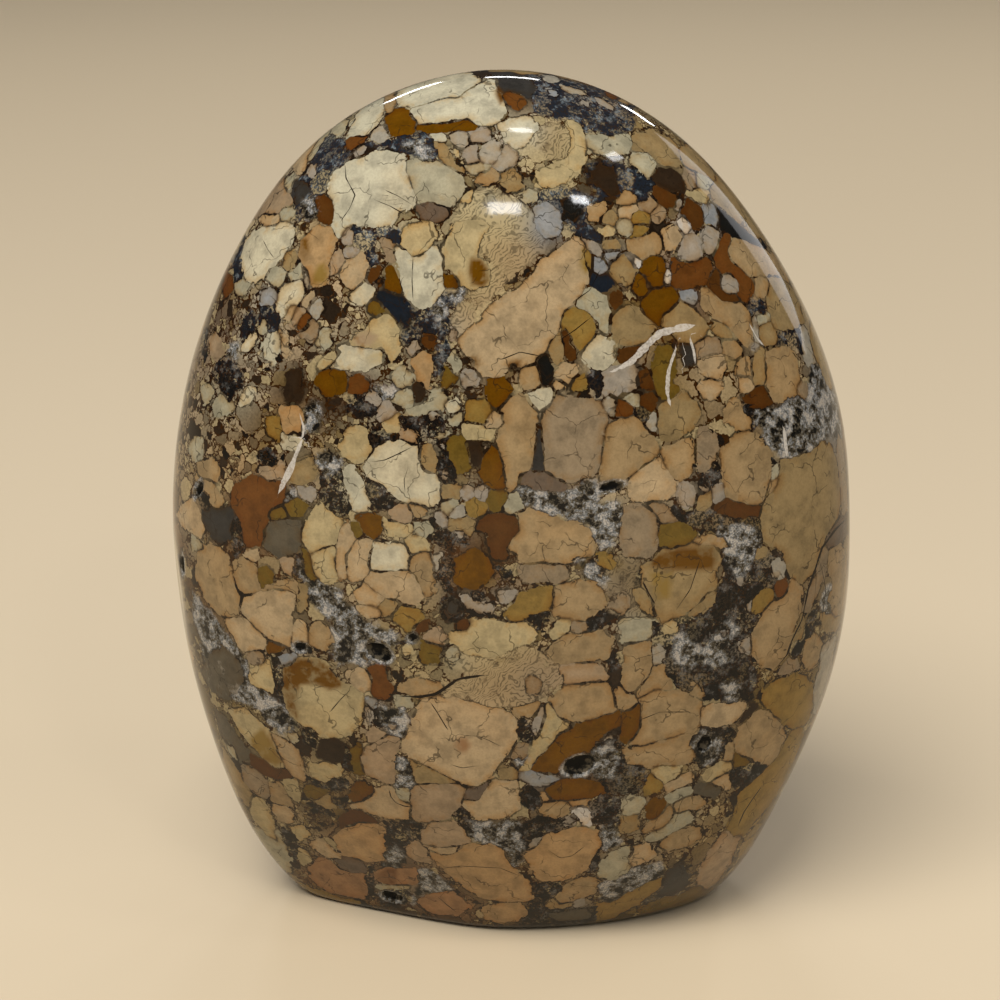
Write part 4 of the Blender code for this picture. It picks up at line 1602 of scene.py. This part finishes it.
# Heights in millimetres between which black ground turns from brown-black to blue-black and its flecks
# lighter, a painted light from above.
TOP_LIGHT_HEIGHTS = (72.0, 96.0)
# Bluer tint of the flecks towards the top: painted light from above.
TOP_LIGHT_TINT = (0.80, 1.0, 1.20, 1.0)
BLUSH_TINT = (1.0, 0.86, 0.70, 1.0)
RIM_TINT = (0.72, 0.56, 0.36, 1.0)
# For each kind of ground, how soft its edge is and how much noise breaks that edge up.
ZONE_EDGES = {
    "soot": (0.10, 1.0), "crumb": (0.12, 0.8), "solid": (0.12, 0.8),
    "druse": (0.16, 1.0), "swirl": (0.12, 0.7), "rust": (0.25, 1.2),
}
BUMP_STRENGTH = 0.18
BUMP_MM = 0.005
POLISH_IOR = 1.54
POLISH_SPECULAR = 0.20
FLOOR_STRENGTH = 0.985
FLOOR_ROUGHNESS = 0.55


def colour(linear):
    return (*(float(value) for value in linear), 1.0)


class Wiring:
    """Puts nodes in a tree. An input is given a socket to join it to, or a plain value."""

    def __init__(self, tree):
        self.tree = tree

    def put(self, kind, feeds=None, **settings):
        """A new node with these settings, and with its inputs fed by name or by number."""
        node = self.tree.nodes.new(kind)
        for name, value in settings.items():
            setattr(node, name, value)
        for name, value in (feeds or {}).items():
            self.feed(node.inputs[name], value)
        return node

    def feed(self, socket, value):
        if isinstance(value, bpy.types.NodeSocket):
            self.tree.links.new(value, socket)
        else:
            socket.default_value = value

    def grouped(self, tree, feeds):
        return self.put("ShaderNodeGroup", feeds, node_tree=tree).outputs

    def math(self, operation, *values):
        return self.put("ShaderNodeMath", dict(enumerate(values)), operation=operation).outputs[0]

    def plus(self, first, second):
        return self.math("ADD", first, second)

    def minus(self, first, second):
        return self.math("SUBTRACT", first, second)

    def times(self, first, second):
        return self.math("MULTIPLY", first, second)

    def greater(self, first, second):
        return self.math("MAXIMUM", first, second)

    def ramp(self, value, low, high, bottom=0.0, top=1.0, kind="SMOOTHSTEP"):
        """bottom below low, top above high, and a smooth S between them."""
        feeds = dict(enumerate((value, low, high, bottom, top)))
        return self.put("ShaderNodeMapRange", feeds, interpolation_type=kind).outputs[0]

    def straight(self, value, low, high, bottom, top):
        """bottom below low, top above high, and a straight slope between them."""
        return self.ramp(value, low, high, bottom, top, "LINEAR")

    def mix(self, share, first, second, blend="MIX"):
        feeds = {0: share, 6: first, 7: second}
        return self.put("ShaderNodeMix", feeds, data_type="RGBA", blend_type=blend).outputs[2]

    def tinted(self, first, tint):
        """The colour times a fixed one."""
        return self.mix(1.0, first, tint, "MULTIPLY")

    def shaded(self, first, value):
        """The colour or the vector times a number."""
        feeds = {0: first, "Scale": value}
        return self.put("ShaderNodeVectorMath", feeds, operation="SCALE").outputs[0]

    def moved(self, vector, other, share):
        """The vector plus share times another, whose middle value is taken as 0.5."""
        feeds = {0: other, 1: (0.5, 0.5, 0.5)}
        centred = self.put("ShaderNodeVectorMath", feeds, operation="SUBTRACT").outputs[0]
        feeds = {0: centred, 1: (share, share, share), 2: vector}
        return self.put("ShaderNodeVectorMath", feeds, operation="MULTIPLY_ADD").outputs[0]

    def noise(self, vector, scale, detail=2.0, roughness=0.5, output="Fac"):
        feeds = {"Vector": vector, "Scale": scale, "Detail": detail, "Roughness": roughness}
        return self.put("ShaderNodeTexNoise", feeds).outputs[output]

    def cell_numbers(self, vector):
        """Three numbers from 0 to 1 that are the same all over a cell."""
        cell = self.put("ShaderNodeTexVoronoi", {"Vector": vector, "Scale": 1.0}).outputs["Color"]
        return self.put("ShaderNodeSeparateColor", {"Color": cell}).outputs

    def cell_edges(self, vector):
        """The distance from the nearest edge between cells."""
        feeds = {"Vector": vector, "Scale": 1.0}
        node = self.put("ShaderNodeTexVoronoi", feeds, feature="DISTANCE_TO_EDGE")
        return node.outputs["Distance"]

    def attribute(self, name, output="Fac"):
        node = self.put("ShaderNodeAttribute", attribute_name=name, attribute_type="GEOMETRY")
        return node.outputs[output]


def new_group(name, inputs, outputs):
    """An empty node group with named sockets, its wiring, its input sockets and its output."""
    tree = bpy.data.node_groups.new(name, "ShaderNodeTree")
    for direction, sockets in (("INPUT", inputs), ("OUTPUT", outputs)):
        for socket_name, kind in sockets.items():
            tree.interface.new_socket(name=socket_name, in_out=direction, socket_type=kind)
    wiring = Wiring(tree)
    return wiring, wiring.put("NodeGroupInput").outputs, wiring.put("NodeGroupOutput").inputs


def deeper_clast_group():
    """Of the clast so far and one of the next set, the deeper one's depth and tone, with the
    depth of the runner-up."""
    best = {"Depth": NUMBER, "Runner Up": NUMBER, "Tone": COLOUR}
    w, given, result = new_group(
        "deeper_clast", {**best, "New Depth": NUMBER, "New Tone": COLOUR}, best
    )
    newer = w.math("GREATER_THAN", given["New Depth"], given["Depth"])
    lesser = w.math("MINIMUM", given["Depth"], given["New Depth"])
    w.feed(result["Depth"], w.greater(given["Depth"], given["New Depth"]))
    w.feed(result["Runner Up"], w.greater(given["Runner Up"], lesser))
    w.feed(result["Tone"], w.mix(newer, given["Tone"], given["New Tone"]))
    return w.tree


def broken_rock_group(paint):
    """Rock broken into angular bits: each cell's tone is the given one made lighter or darker, or
    ochre, or pale, or dark for the given share of cells, with dark cracks along their edges. Pick
    is a number from 0 to 1 that is the same all over a cell."""
    w, given, result = new_group(
        "broken_rock",
        {"Position": VECTOR, "Cell Size": NUMBER, "Crack": NUMBER, "Tone": COLOUR,
         "Dark Share": NUMBER},
        {"Tone": COLOUR, "Pick": NUMBER},
    )
    place = w.shaded(given["Position"], w.math("DIVIDE", 1.0, given["Cell Size"]))
    first, second, third = w.cell_numbers(place)
    edge = w.times(w.cell_edges(place), given["Cell Size"])
    tone = w.shaded(given["Tone"], w.straight(first, 0.0, 1.0, 0.45, 1.10))
    ochre = w.mix(0.5, tone, paint("honey", 0.6))
    tone = w.mix(w.ramp(second, 0.88, 0.90), tone, ochre)
    pale = w.mix(0.6, tone, paint("straw"))
    tone = w.mix(w.ramp(second, 0.17, 0.15), tone, pale)
    dark = w.mix(second, paint("coal", 0.7), paint("umber"))
    tone = w.mix(w.math("LESS_THAN", third, given["Dark Share"]), tone, dark)
    uneven = w.straight(w.noise(given["Position"], 0.6), 0.3, 0.7, 0.0, 1.8)
    breadth = w.times(uneven, given["Crack"])
    crack = w.ramp(w.minus(edge, breadth), -0.02, 0.06, 1.0, 0.0)
    w.feed(result["Tone"], w.mix(crack, tone, paint("brown", 0.45)))
    w.feed(result["Pick"], w.math("FRACT", w.times(first, 7.31)))
    return w.tree


def hairlines_group():
    """Thin broken lines along the edges of warped cells."""
    w, given, result = new_group(
        "hairlines",
        {"Position": VECTOR, "Spacing": NUMBER, "Breadth": NUMBER, "Share": NUMBER},
        {"Line": NUMBER},
    )
    place = w.moved(given["Position"], w.noise(given["Position"], 0.45, 2.0, 0.6, "Color"), 3.2)
    place = w.shaded(place, w.math("DIVIDE", 1.0, given["Spacing"]))
    edge = w.times(w.cell_edges(place), given["Spacing"])
    line = w.ramp(w.math("DIVIDE", edge, given["Breadth"]), 0.35, 1.0, 1.0, 0.0)
    patch = w.minus(w.plus(w.noise(given["Position"], 0.33), given["Share"]), 0.5)
    w.feed(result["Line"], w.times(line, w.ramp(patch, 0.42, 0.55)))
    return w.tree


def druse_group(paint):
    """Grey quartz with crystals: dark hollows, cloudy grey and pale streaks, with a fine grain and
    painted white glints on the crystals.
    """
    w, given, result = new_group("druse", {"Position": VECTOR}, {"Tone": COLOUR, "Cloud": NUMBER})
    cloud = w.noise(given["Position"], 0.60, 4.0, 0.72)
    tone = w.mix(w.ramp(cloud, 0.40, 0.47), paint("coal", 0.8), paint("smoke"))
    tone = w.mix(w.ramp(cloud, 0.46, 0.53), tone, paint("mist", 0.75))
    tone = w.mix(w.ramp(cloud, 0.53, 0.63), tone, paint("white", 0.85))
    grain = w.noise(given["Position"], 4.5, 1.0, 0.7)
    tone = w.shaded(tone, w.straight(grain, 0.3, 0.7, 0.55, 1.40))
    # Painted highlight: white glints where the grain is high in the cloudy quartz.
    painted_glint = w.times(w.ramp(grain, 0.56, 0.66), w.ramp(cloud, 0.44, 0.58))
    w.feed(result["Tone"], w.mix(w.times(painted_glint, 0.7), tone, paint("white")))
    w.feed(result["Cloud"], cloud)
    return w.tree


def wavy_lines_group():
    """Fine lines that run down to the left and wander, as a share from 0 to 1 across them."""
    w, given, result = new_group("wavy_lines", {"Position": VECTOR}, {"Line": NUMBER})
    place = w.moved(given["Position"], w.noise(given["Position"], 0.20, 3.0, 0.62, "Color"), 8.0)
    across = w.put("ShaderNodeVectorMath", {0: place, 1: ACROSS_WAVES}, operation="DOT_PRODUCT")
    wave = w.math("SINE", w.times(across.outputs["Value"], WAVE_RATE))
    fine = w.noise(place, 1.8, 2.0, 0.65)
    wave = w.plus(wave, w.straight(fine, 0.3, 0.7, -1.0, 1.0))
    w.feed(result["Line"], w.ramp(wave, -1.1, 0.0))
    return w.tree


class Jasper(Wiring):
    """Wiring with what the steps of the stone's material share: the position in millimetres, two
    noises, how much of each kind of ground there is, the ground's tone and the quartz."""

    def __init__(self, tree, tones):
        super().__init__(tree)
        self.tones = tones
        place = self.put("ShaderNodeTexCoord").outputs["Object"]
        self.position = self.shaded(place, 1 / MM)
        self.medium = self.noise(self.position, 0.42, 3.0, 0.6)
        self.fine = self.noise(self.position, 3.2, 3.0, 0.65)
        self.zones = {kind: self.zone(kind, *edge) for kind, edge in ZONE_EDGES.items()}
        self.ground = self.attribute("ground_tone", "Color")
        self.quartz = self.grouped(druse_group(self.paint), {"Position": self.position})

    def paint(self, name, strength=1.0):
        return colour(self.tones[name] * strength)

    def zone(self, kind, softness, swing):
        """A zone's share, its edge broken up by the medium noise."""
        uneven = self.times(self.minus(self.medium, 0.5), swing)
        share = self.plus(self.attribute(f"zone_{kind}"), uneven)
        return self.ramp(share, 0.5 - softness, 0.5 + softness)


def broken_rock(w):
    """Three grades of broken rock, where solid ground has the most of the largest."""
    crumb, solid = w.zones["crumb"], w.zones["solid"]
    bent = w.moved(w.position, w.noise(w.position, 1.0, 2.0, 0.6, "Color"), 1.5)
    dark_share = w.plus(w.times(w.zones["soot"], 0.45), w.times(crumb, 0.12))
    dark_share = w.plus(dark_share, w.straight(solid, 0.0, 1.0, 0.11, 0.03))
    rock = broken_rock_group(w.paint)
    feeds = {"Position": bent, "Tone": w.ground, "Dark Share": dark_share}

    def bits(size, crack):
        return w.grouped(rock, {**feeds, "Cell Size": size, "Crack": crack})

    large, middling, tiny = bits(*LARGE_BITS), bits(*MIDDLING_BITS), bits(*TINY_BITS)
    is_middling = w.math("LESS_THAN", middling["Pick"], 0.45)
    base = w.mix(is_middling, tiny["Tone"], middling["Tone"])
    whole = w.plus(w.straight(crumb, 0.0, 1.0, 0.40, 0.05), w.times(solid, 0.45))
    return w.mix(w.math("LESS_THAN", large["Pick"], whole), base, large["Tone"])


def soot_black(w):
    """Black ground with quartz flecks, painted bluer towards the top and the flecks lighter there, as
    painted light from above.
    """
    height = w.put("ShaderNodeSeparateXYZ", {"Vector": w.position}).outputs["Z"]
    # Painted light from above: the black ground turns bluer and its flecks lighter towards the top.
    upper = w.ramp(height, *TOP_LIGHT_HEIGHTS)
    black = w.mix(upper, w.paint("coal", 0.55), w.paint("navy", 1.3))
    flecks = w.shaded(w.quartz["Tone"], w.straight(upper, 0.0, 1.0, 0.45, 0.75))
    flecks = w.mix(upper, flecks, w.tinted(flecks, TOP_LIGHT_TINT))
    return w.mix(w.ramp(w.quartz["Cloud"], 0.50, 0.64, 0.0, 0.6), black, flecks)


def between_clasts(w):
    """Broken rock, reddened by rust, with soot, banded ground and quartz over it."""
    rust = w.times(w.zones["rust"], 0.35)
    base = w.mix(rust, broken_rock(w), w.paint("brown", 1.15))
    cover = w.times(w.zones["soot"], w.ramp(w.fine, 0.58, 0.44, 0.25, 0.92))
    base = w.mix(cover, base, soot_black(w))
    base = w.shaded(base, w.straight(w.fine, 0.25, 0.75, 0.70, 1.30))
    lines = w.grouped(wavy_lines_group(), {"Position": w.position})["Line"]
    banded = w.mix(lines, w.shaded(w.ground, 0.50), w.shaded(w.ground, 1.06))
    cover = w.times(w.zones["swirl"], w.ramp(w.medium, 0.36, 0.52, 0.45, 1.0))
    base = w.mix(cover, base, banded)
    return w.mix(w.zones["druse"], base, w.quartz["Tone"])


def clast_choice(w, growth):
    """The tone of the clast over each point and its depth inside its edge, over all the sets.
    The edges are made ragged, and moved out by the growth or as far as half way to the next
    clast."""
    notches = w.cell_numbers(w.shaded(w.position, 0.95))[0]
    notches = w.straight(notches, 0.0, 1.0, -0.24, 0.24)
    ragged = w.straight(w.noise(w.position, 2.4, 3.0, 0.6), 0.0, 1.0, -0.22, 0.22)
    ragged = w.plus(ragged, notches)
    sway = w.straight(w.noise(w.position, 0.45, 3.0, 0.55), 0.0, 1.0, -0.5, 0.5)
    group = deeper_clast_group()
    best = {"Depth": FAR_MM, "Runner Up": FAR_MM, "Tone": (0.0, 0.0, 0.0, 1.0)}
    for number in range(1, SET_COUNT + 1):
        own = w.plus(w.attribute(f"clast_depth_{number}"), ragged)
        own = w.math("ADD" if number % 2 else "SUBTRACT", own, sway)
        own_tone = w.attribute(f"clast_tone_{number}", "Color")
        found = w.grouped(group, {**best, "New Depth": own, "New Tone": own_tone})
        best = {name: found[name] for name in best}
    apart = w.times(w.minus(best["Depth"], best["Runner Up"]), 0.5)
    return best["Tone"], w.math("MINIMUM", w.plus(best["Depth"], growth), apart)


def clast_colour(w, clast, depth):
    """The clasts' colour: clouded, blushed, stained, darker round the rim and cracked."""
    medium = w.medium
    clast = w.shaded(clast, w.ramp(medium, 0.28, 0.62, 0.72, 1.12))
    clast = w.shaded(clast, w.ramp(w.fine, 0.30, 0.65, 0.91, 1.06))
    blush = w.times(w.ramp(w.noise(w.position, 0.10), 0.5, 0.62), 0.25)
    clast = w.mix(blush, clast, w.tinted(clast, BLUSH_TINT))
    stain = w.ramp(medium, 0.30, 0.50, 0.35, 1.0)
    stain = w.times(w.attribute("stain", "Alpha"), stain)
    clast = w.mix(stain, clast, w.attribute("stain", "Color"))
    rim = w.times(w.ramp(depth, 0.1, 1.5, 1.0, 0.0), w.ramp(medium, 0.44, 0.58))
    clast = w.mix(w.times(rim, 0.7), clast, w.tinted(clast, RIM_TINT))
    cracks = w.grouped(hairlines_group(), {"Position": w.position, **HAIRLINES})["Line"]
    clast = w.mix(w.times(cracks, 0.65), clast, w.paint("umber", 0.6))
    edge = w.times(w.ramp(depth, 0.02, 0.34, 0.7, 0.0), w.ramp(medium, 0.42, 0.60))
    return w.mix(edge, clast, w.paint("brown", 0.6))


def thin_line(w, name):
    """A line on the surface where the distance across it is less than half its breadth."""
    across = w.math("ABSOLUTE", w.attribute(f"{name}_across"))
    uneven = w.ramp(w.medium, 0.3, 0.6, 0.5, 1.3)
    half = w.times(w.attribute(f"{name}_half"), uneven)
    return w.ramp(w.minus(half, across), -0.03, 0.05)


def stone_pattern(w):
    """Clasts set in the ground with a dark seam round them."""
    loose = w.greater(w.zones["soot"], w.zones["druse"])
    loose = w.greater(loose, w.zones["swirl"])
    clast, depth = clast_choice(w, w.straight(loose, 0.0, 1.0, GROWTH_MM, 0.0))
    seam = w.ramp(w.medium, 0.35, 0.60, 0.25, 0.85)
    seam = w.times(w.ramp(depth, -0.22, -0.04), seam)
    base = w.mix(seam, between_clasts(w), w.paint("umber", 0.35))
    gap = w.ramp(w.noise(w.position, 0.30, 3.0, 0.7), 0.40, 0.64, 0.0, 0.20)
    inside = w.ramp(w.minus(depth, gap), -0.02, 0.05)
    return w.mix(inside, base, clast_colour(w, clast, depth))


def with_lines(w, surface):
    """A veil of quartz over the surface, then its cracks and its white veins, of which a few are
    painted glints and reflections.
    """
    veil = w.ramp(w.quartz["Cloud"], 0.54, 0.68, 0.0, 0.5)
    veil = w.times(w.zones["druse"], veil)
    surface = w.mix(veil, surface, w.paint("silver", 1.1))
    surface = w.mix(thin_line(w, "crack"), surface, w.paint("umber", 0.35))
    # Painted highlight: a few of these white lines are glints and reflections, not veins.
    vein = w.times(thin_line(w, "vein"), w.ramp(w.fine, 0.35, 0.60, 0.55, 0.9))
    return w.mix(vein, surface, w.paint("white", 1.15))


def with_pits(w, surface, pit):
    """A crust of quartz round the pits, and mottled black to dark grey in them."""
    # The inside of the pits is painted black to dark grey.
    crystals = w.ramp(w.quartz["Cloud"], 0.50, 0.62)
    crystals = w.mix(crystals, w.paint("coal", 0.3), w.paint("smoke"))
    surface = w.mix(w.ramp(pit, -0.45, -0.10, 0.0, 0.85), surface, w.quartz["Tone"])
    return w.mix(w.ramp(pit, 0.0, 0.12), surface, crystals)


def uneven_polish(w, pit):
    """An even polish, a little duller on quartz and rough in the pits."""
    polish = w.ramp(w.fine, 0.2, 0.8, 0.03, 0.09)
    rough = w.plus(w.times(w.zones["druse"], 0.10), polish)
    return w.plus(rough, w.times(w.ramp(pit, -0.1, 0.1), 0.5))


def polished_jasper(tones):
    """Brecciated jasper: clasts over broken ground, quartz, stains, veins, cracks and pits, under
    an even polish."""
    material = bpy.data.materials.new("polished_jasper")
    material.use_nodes = True
    shader = material.node_tree.nodes["Principled BSDF"]
    w = Jasper(material.node_tree, tones)
    pit = w.plus(w.attribute("pit_depth"), w.times(w.minus(w.fine, 0.5), 0.5))
    feeds = {"Strength": BUMP_STRENGTH, "Distance": BUMP_MM * MM, "Height": w.fine}
    w.feed(shader.inputs["Base Color"], with_pits(w, with_lines(w, stone_pattern(w)), pit))
    w.feed(shader.inputs["Roughness"], uneven_polish(w, pit))
    w.feed(shader.inputs["Normal"], w.put("ShaderNodeBump", feeds).outputs["Normal"])
    shader.inputs["IOR"].default_value = POLISH_IOR
    shader.inputs["Specular IOR Level"].default_value = POLISH_SPECULAR
    return material


def studio_floor_finish(tone):
    material = bpy.data.materials.new("studio_floor")
    material.use_nodes = True
    shader = material.node_tree.nodes["Principled BSDF"]
    shader.inputs["Base Color"].default_value = colour(tone * FLOOR_STRENGTH)
    shader.inputs["Roughness"].default_value = FLOOR_ROUGHNESS
    return material


# Studio

# Where the lamps look, in metres.
MIDDLE = (0, 0, 0.06)
KEY_PLACE = (-0.36, -0.62, 1.20)
FILL_PLACE = (0.70, -0.75, 0.85)
RIM_PLACE = (0.90, 0.70, 0.45)
KEY_SIZE, FILL_SIZE, RIM_SIZE = (0.9, 0.7), (0.8, 0.8), (0.5, 0.6)
# Places and sizes in metres of the small lamps whose glints show on the polish.
SPOTS = (
    ((-0.236, 0.774, 0.508), (0.16, 0.05)),
    ((0.030, 0.737, 0.626), (0.16, 0.04)),
    ((0.365, 0.749, 0.459), (0.10, 0.04)),
    ((0.062, -0.302, 0.958), (0.10, 0.05)),
    ((0.490, -0.228, 0.837), (0.12, 0.05)),
    ((0.278, -0.662, 0.665), (0.08, 0.04)),
    ((-0.023, -0.756, 0.612), (0.09, 0.05)),
)
# How bright the sky is in reflections, as a share of the light it gives.
SKY_REFLECTED = 0.15
# The camera sees nothing nearer than this, in metres.
NEAREST_SEEN = 0.01


def soft_lamp(context, name, place, size, power):
    """A rectangular lamp at place that faces the stone."""
    light = bpy.data.lights.new(name, "AREA")
    light.shape = "RECTANGLE"
    light.size, light.size_y = size
    light.energy = power
    lamp = bpy.data.objects.new(name, light)
    lamp.location = place
    lamp.rotation_euler = (Vector(MIDDLE) - Vector(place)).to_track_quat("-Z", "Y").to_euler()
    context.scene.collection.objects.link(lamp)
    return lamp


def studio_floor(context, side, tone):
    """A square sheet that the stone stands on."""
    half = side / 2
    corners = [(-half, -half, 0), (half, -half, 0), (half, half, 0), (-half, half, 0)]
    mesh = bpy.data.meshes.new("studio_floor")
    mesh.from_pydata(corners, [], [(0, 1, 2, 3)])
    mesh.materials.append(studio_floor_finish(np.array(tone)))
    floor = bpy.data.objects.new("studio_floor", mesh)
    context.scene.collection.objects.link(floor)
    return floor


def studio_sky(tone, strength):
    """A sky that lights the stone evenly and is dimmer in the polish."""
    sky = bpy.data.worlds.new("studio_sky")
    sky.use_nodes = True
    w = Wiring(sky.node_tree)
    background = sky.node_tree.nodes["Background"]
    background.inputs["Color"].default_value = colour(tone)
    mirrored = w.put("ShaderNodeLightPath").outputs["Is Glossy Ray"]
    seen = w.straight(mirrored, 0.0, 1.0, strength, strength * SKY_REFLECTED)
    w.feed(background.inputs["Strength"], seen)
    return sky


def main_camera(context):
    """The camera of the main view, as the pattern is drawn in it."""
    lens = bpy.data.cameras.new("main_view")
    lens.sensor_width = SENSOR_MM
    lens.lens = FOCAL / PICTURE * SENSOR_MM
    lens.clip_start = NEAREST_SEEN
    camera = bpy.data.objects.new("main_view", lens)
    camera.location = EYE * MM
    camera.rotation_euler = (math.pi / 2 - VIEW_TILT, 0, 0)
    context.scene.collection.objects.link(camera)
    return camera


class JASPER_OT_studio(bpy.types.Operator):
    """Adds the pale floor, the soft lamps, the sky and the camera"""

    bl_idname = "jasper.studio"
    bl_label = "Studio"
    bl_options = {"REGISTER", "UNDO"}

    def execute(self, context):
        studio = context.scene.jasper_studio
        floor = studio_floor(context, studio.floor_side, studio.floor_tone)
        key = soft_lamp(context, "key_lamp", KEY_PLACE, KEY_SIZE, studio.key_power)
        fill = soft_lamp(context, "fill_lamp", FILL_PLACE, FILL_SIZE, studio.fill_power)
        # Broad lamps light the stone without a broad glare on its polish.
        key.visible_glossy = fill.visible_glossy = False
        soft_lamp(context, "rim_lamp", RIM_PLACE, RIM_SIZE, studio.rim_power)
        for number, (place, size) in enumerate(SPOTS, 1):
            soft_lamp(context, f"spot_{number}", place, size, studio.spot_power)
        context.scene.world = studio_sky(studio.sky_tone, studio.sky_strength)
        bpy.context.scene.camera = main_camera(context)
        context.scene.view_settings.view_transform = "Standard"
        return {"FINISHED"}


class JASPER_PT_panel(bpy.types.Panel):
    """Lists the sizes, the tones and the steps"""

    bl_label = "Jasper freeform"
    bl_idname = "JASPER_PT_panel"
    bl_space_type = "VIEW_3D"
    bl_region_type = "UI"
    bl_category = "Jasper"

    def draw(self, context):
        layout = self.layout
        for name, group in PROPERTY_GROUPS.items():
            box = layout.box()
            for key in group.__annotations__:
                box.prop(getattr(context.scene, name), key)
        layout.operator(JASPER_OT_stone.bl_idname)
        layout.operator(JASPER_OT_studio.bl_idname)


PROPERTY_GROUPS = {
    "jasper_sizes": StoneSizes,
    "jasper_tones": JasperTones,
    "jasper_studio": StudioSettings,
}
CLASSES = (*PROPERTY_GROUPS.values(), JASPER_OT_stone, JASPER_OT_studio, JASPER_PT_panel)


def register():
    for item in CLASSES:
        bpy.utils.register_class(item)
    for name, group in PROPERTY_GROUPS.items():
        setattr(bpy.types.Scene, name, bpy.props.PointerProperty(type=group))


def unregister():
    for name in PROPERTY_GROUPS:
        delattr(bpy.types.Scene, name)
    for item in reversed(CLASSES):
        bpy.utils.unregister_class(item)


def main():
    register()
    bpy.ops.jasper.stone()
    bpy.ops.jasper.studio()


if __name__ == "__main__":
    main()
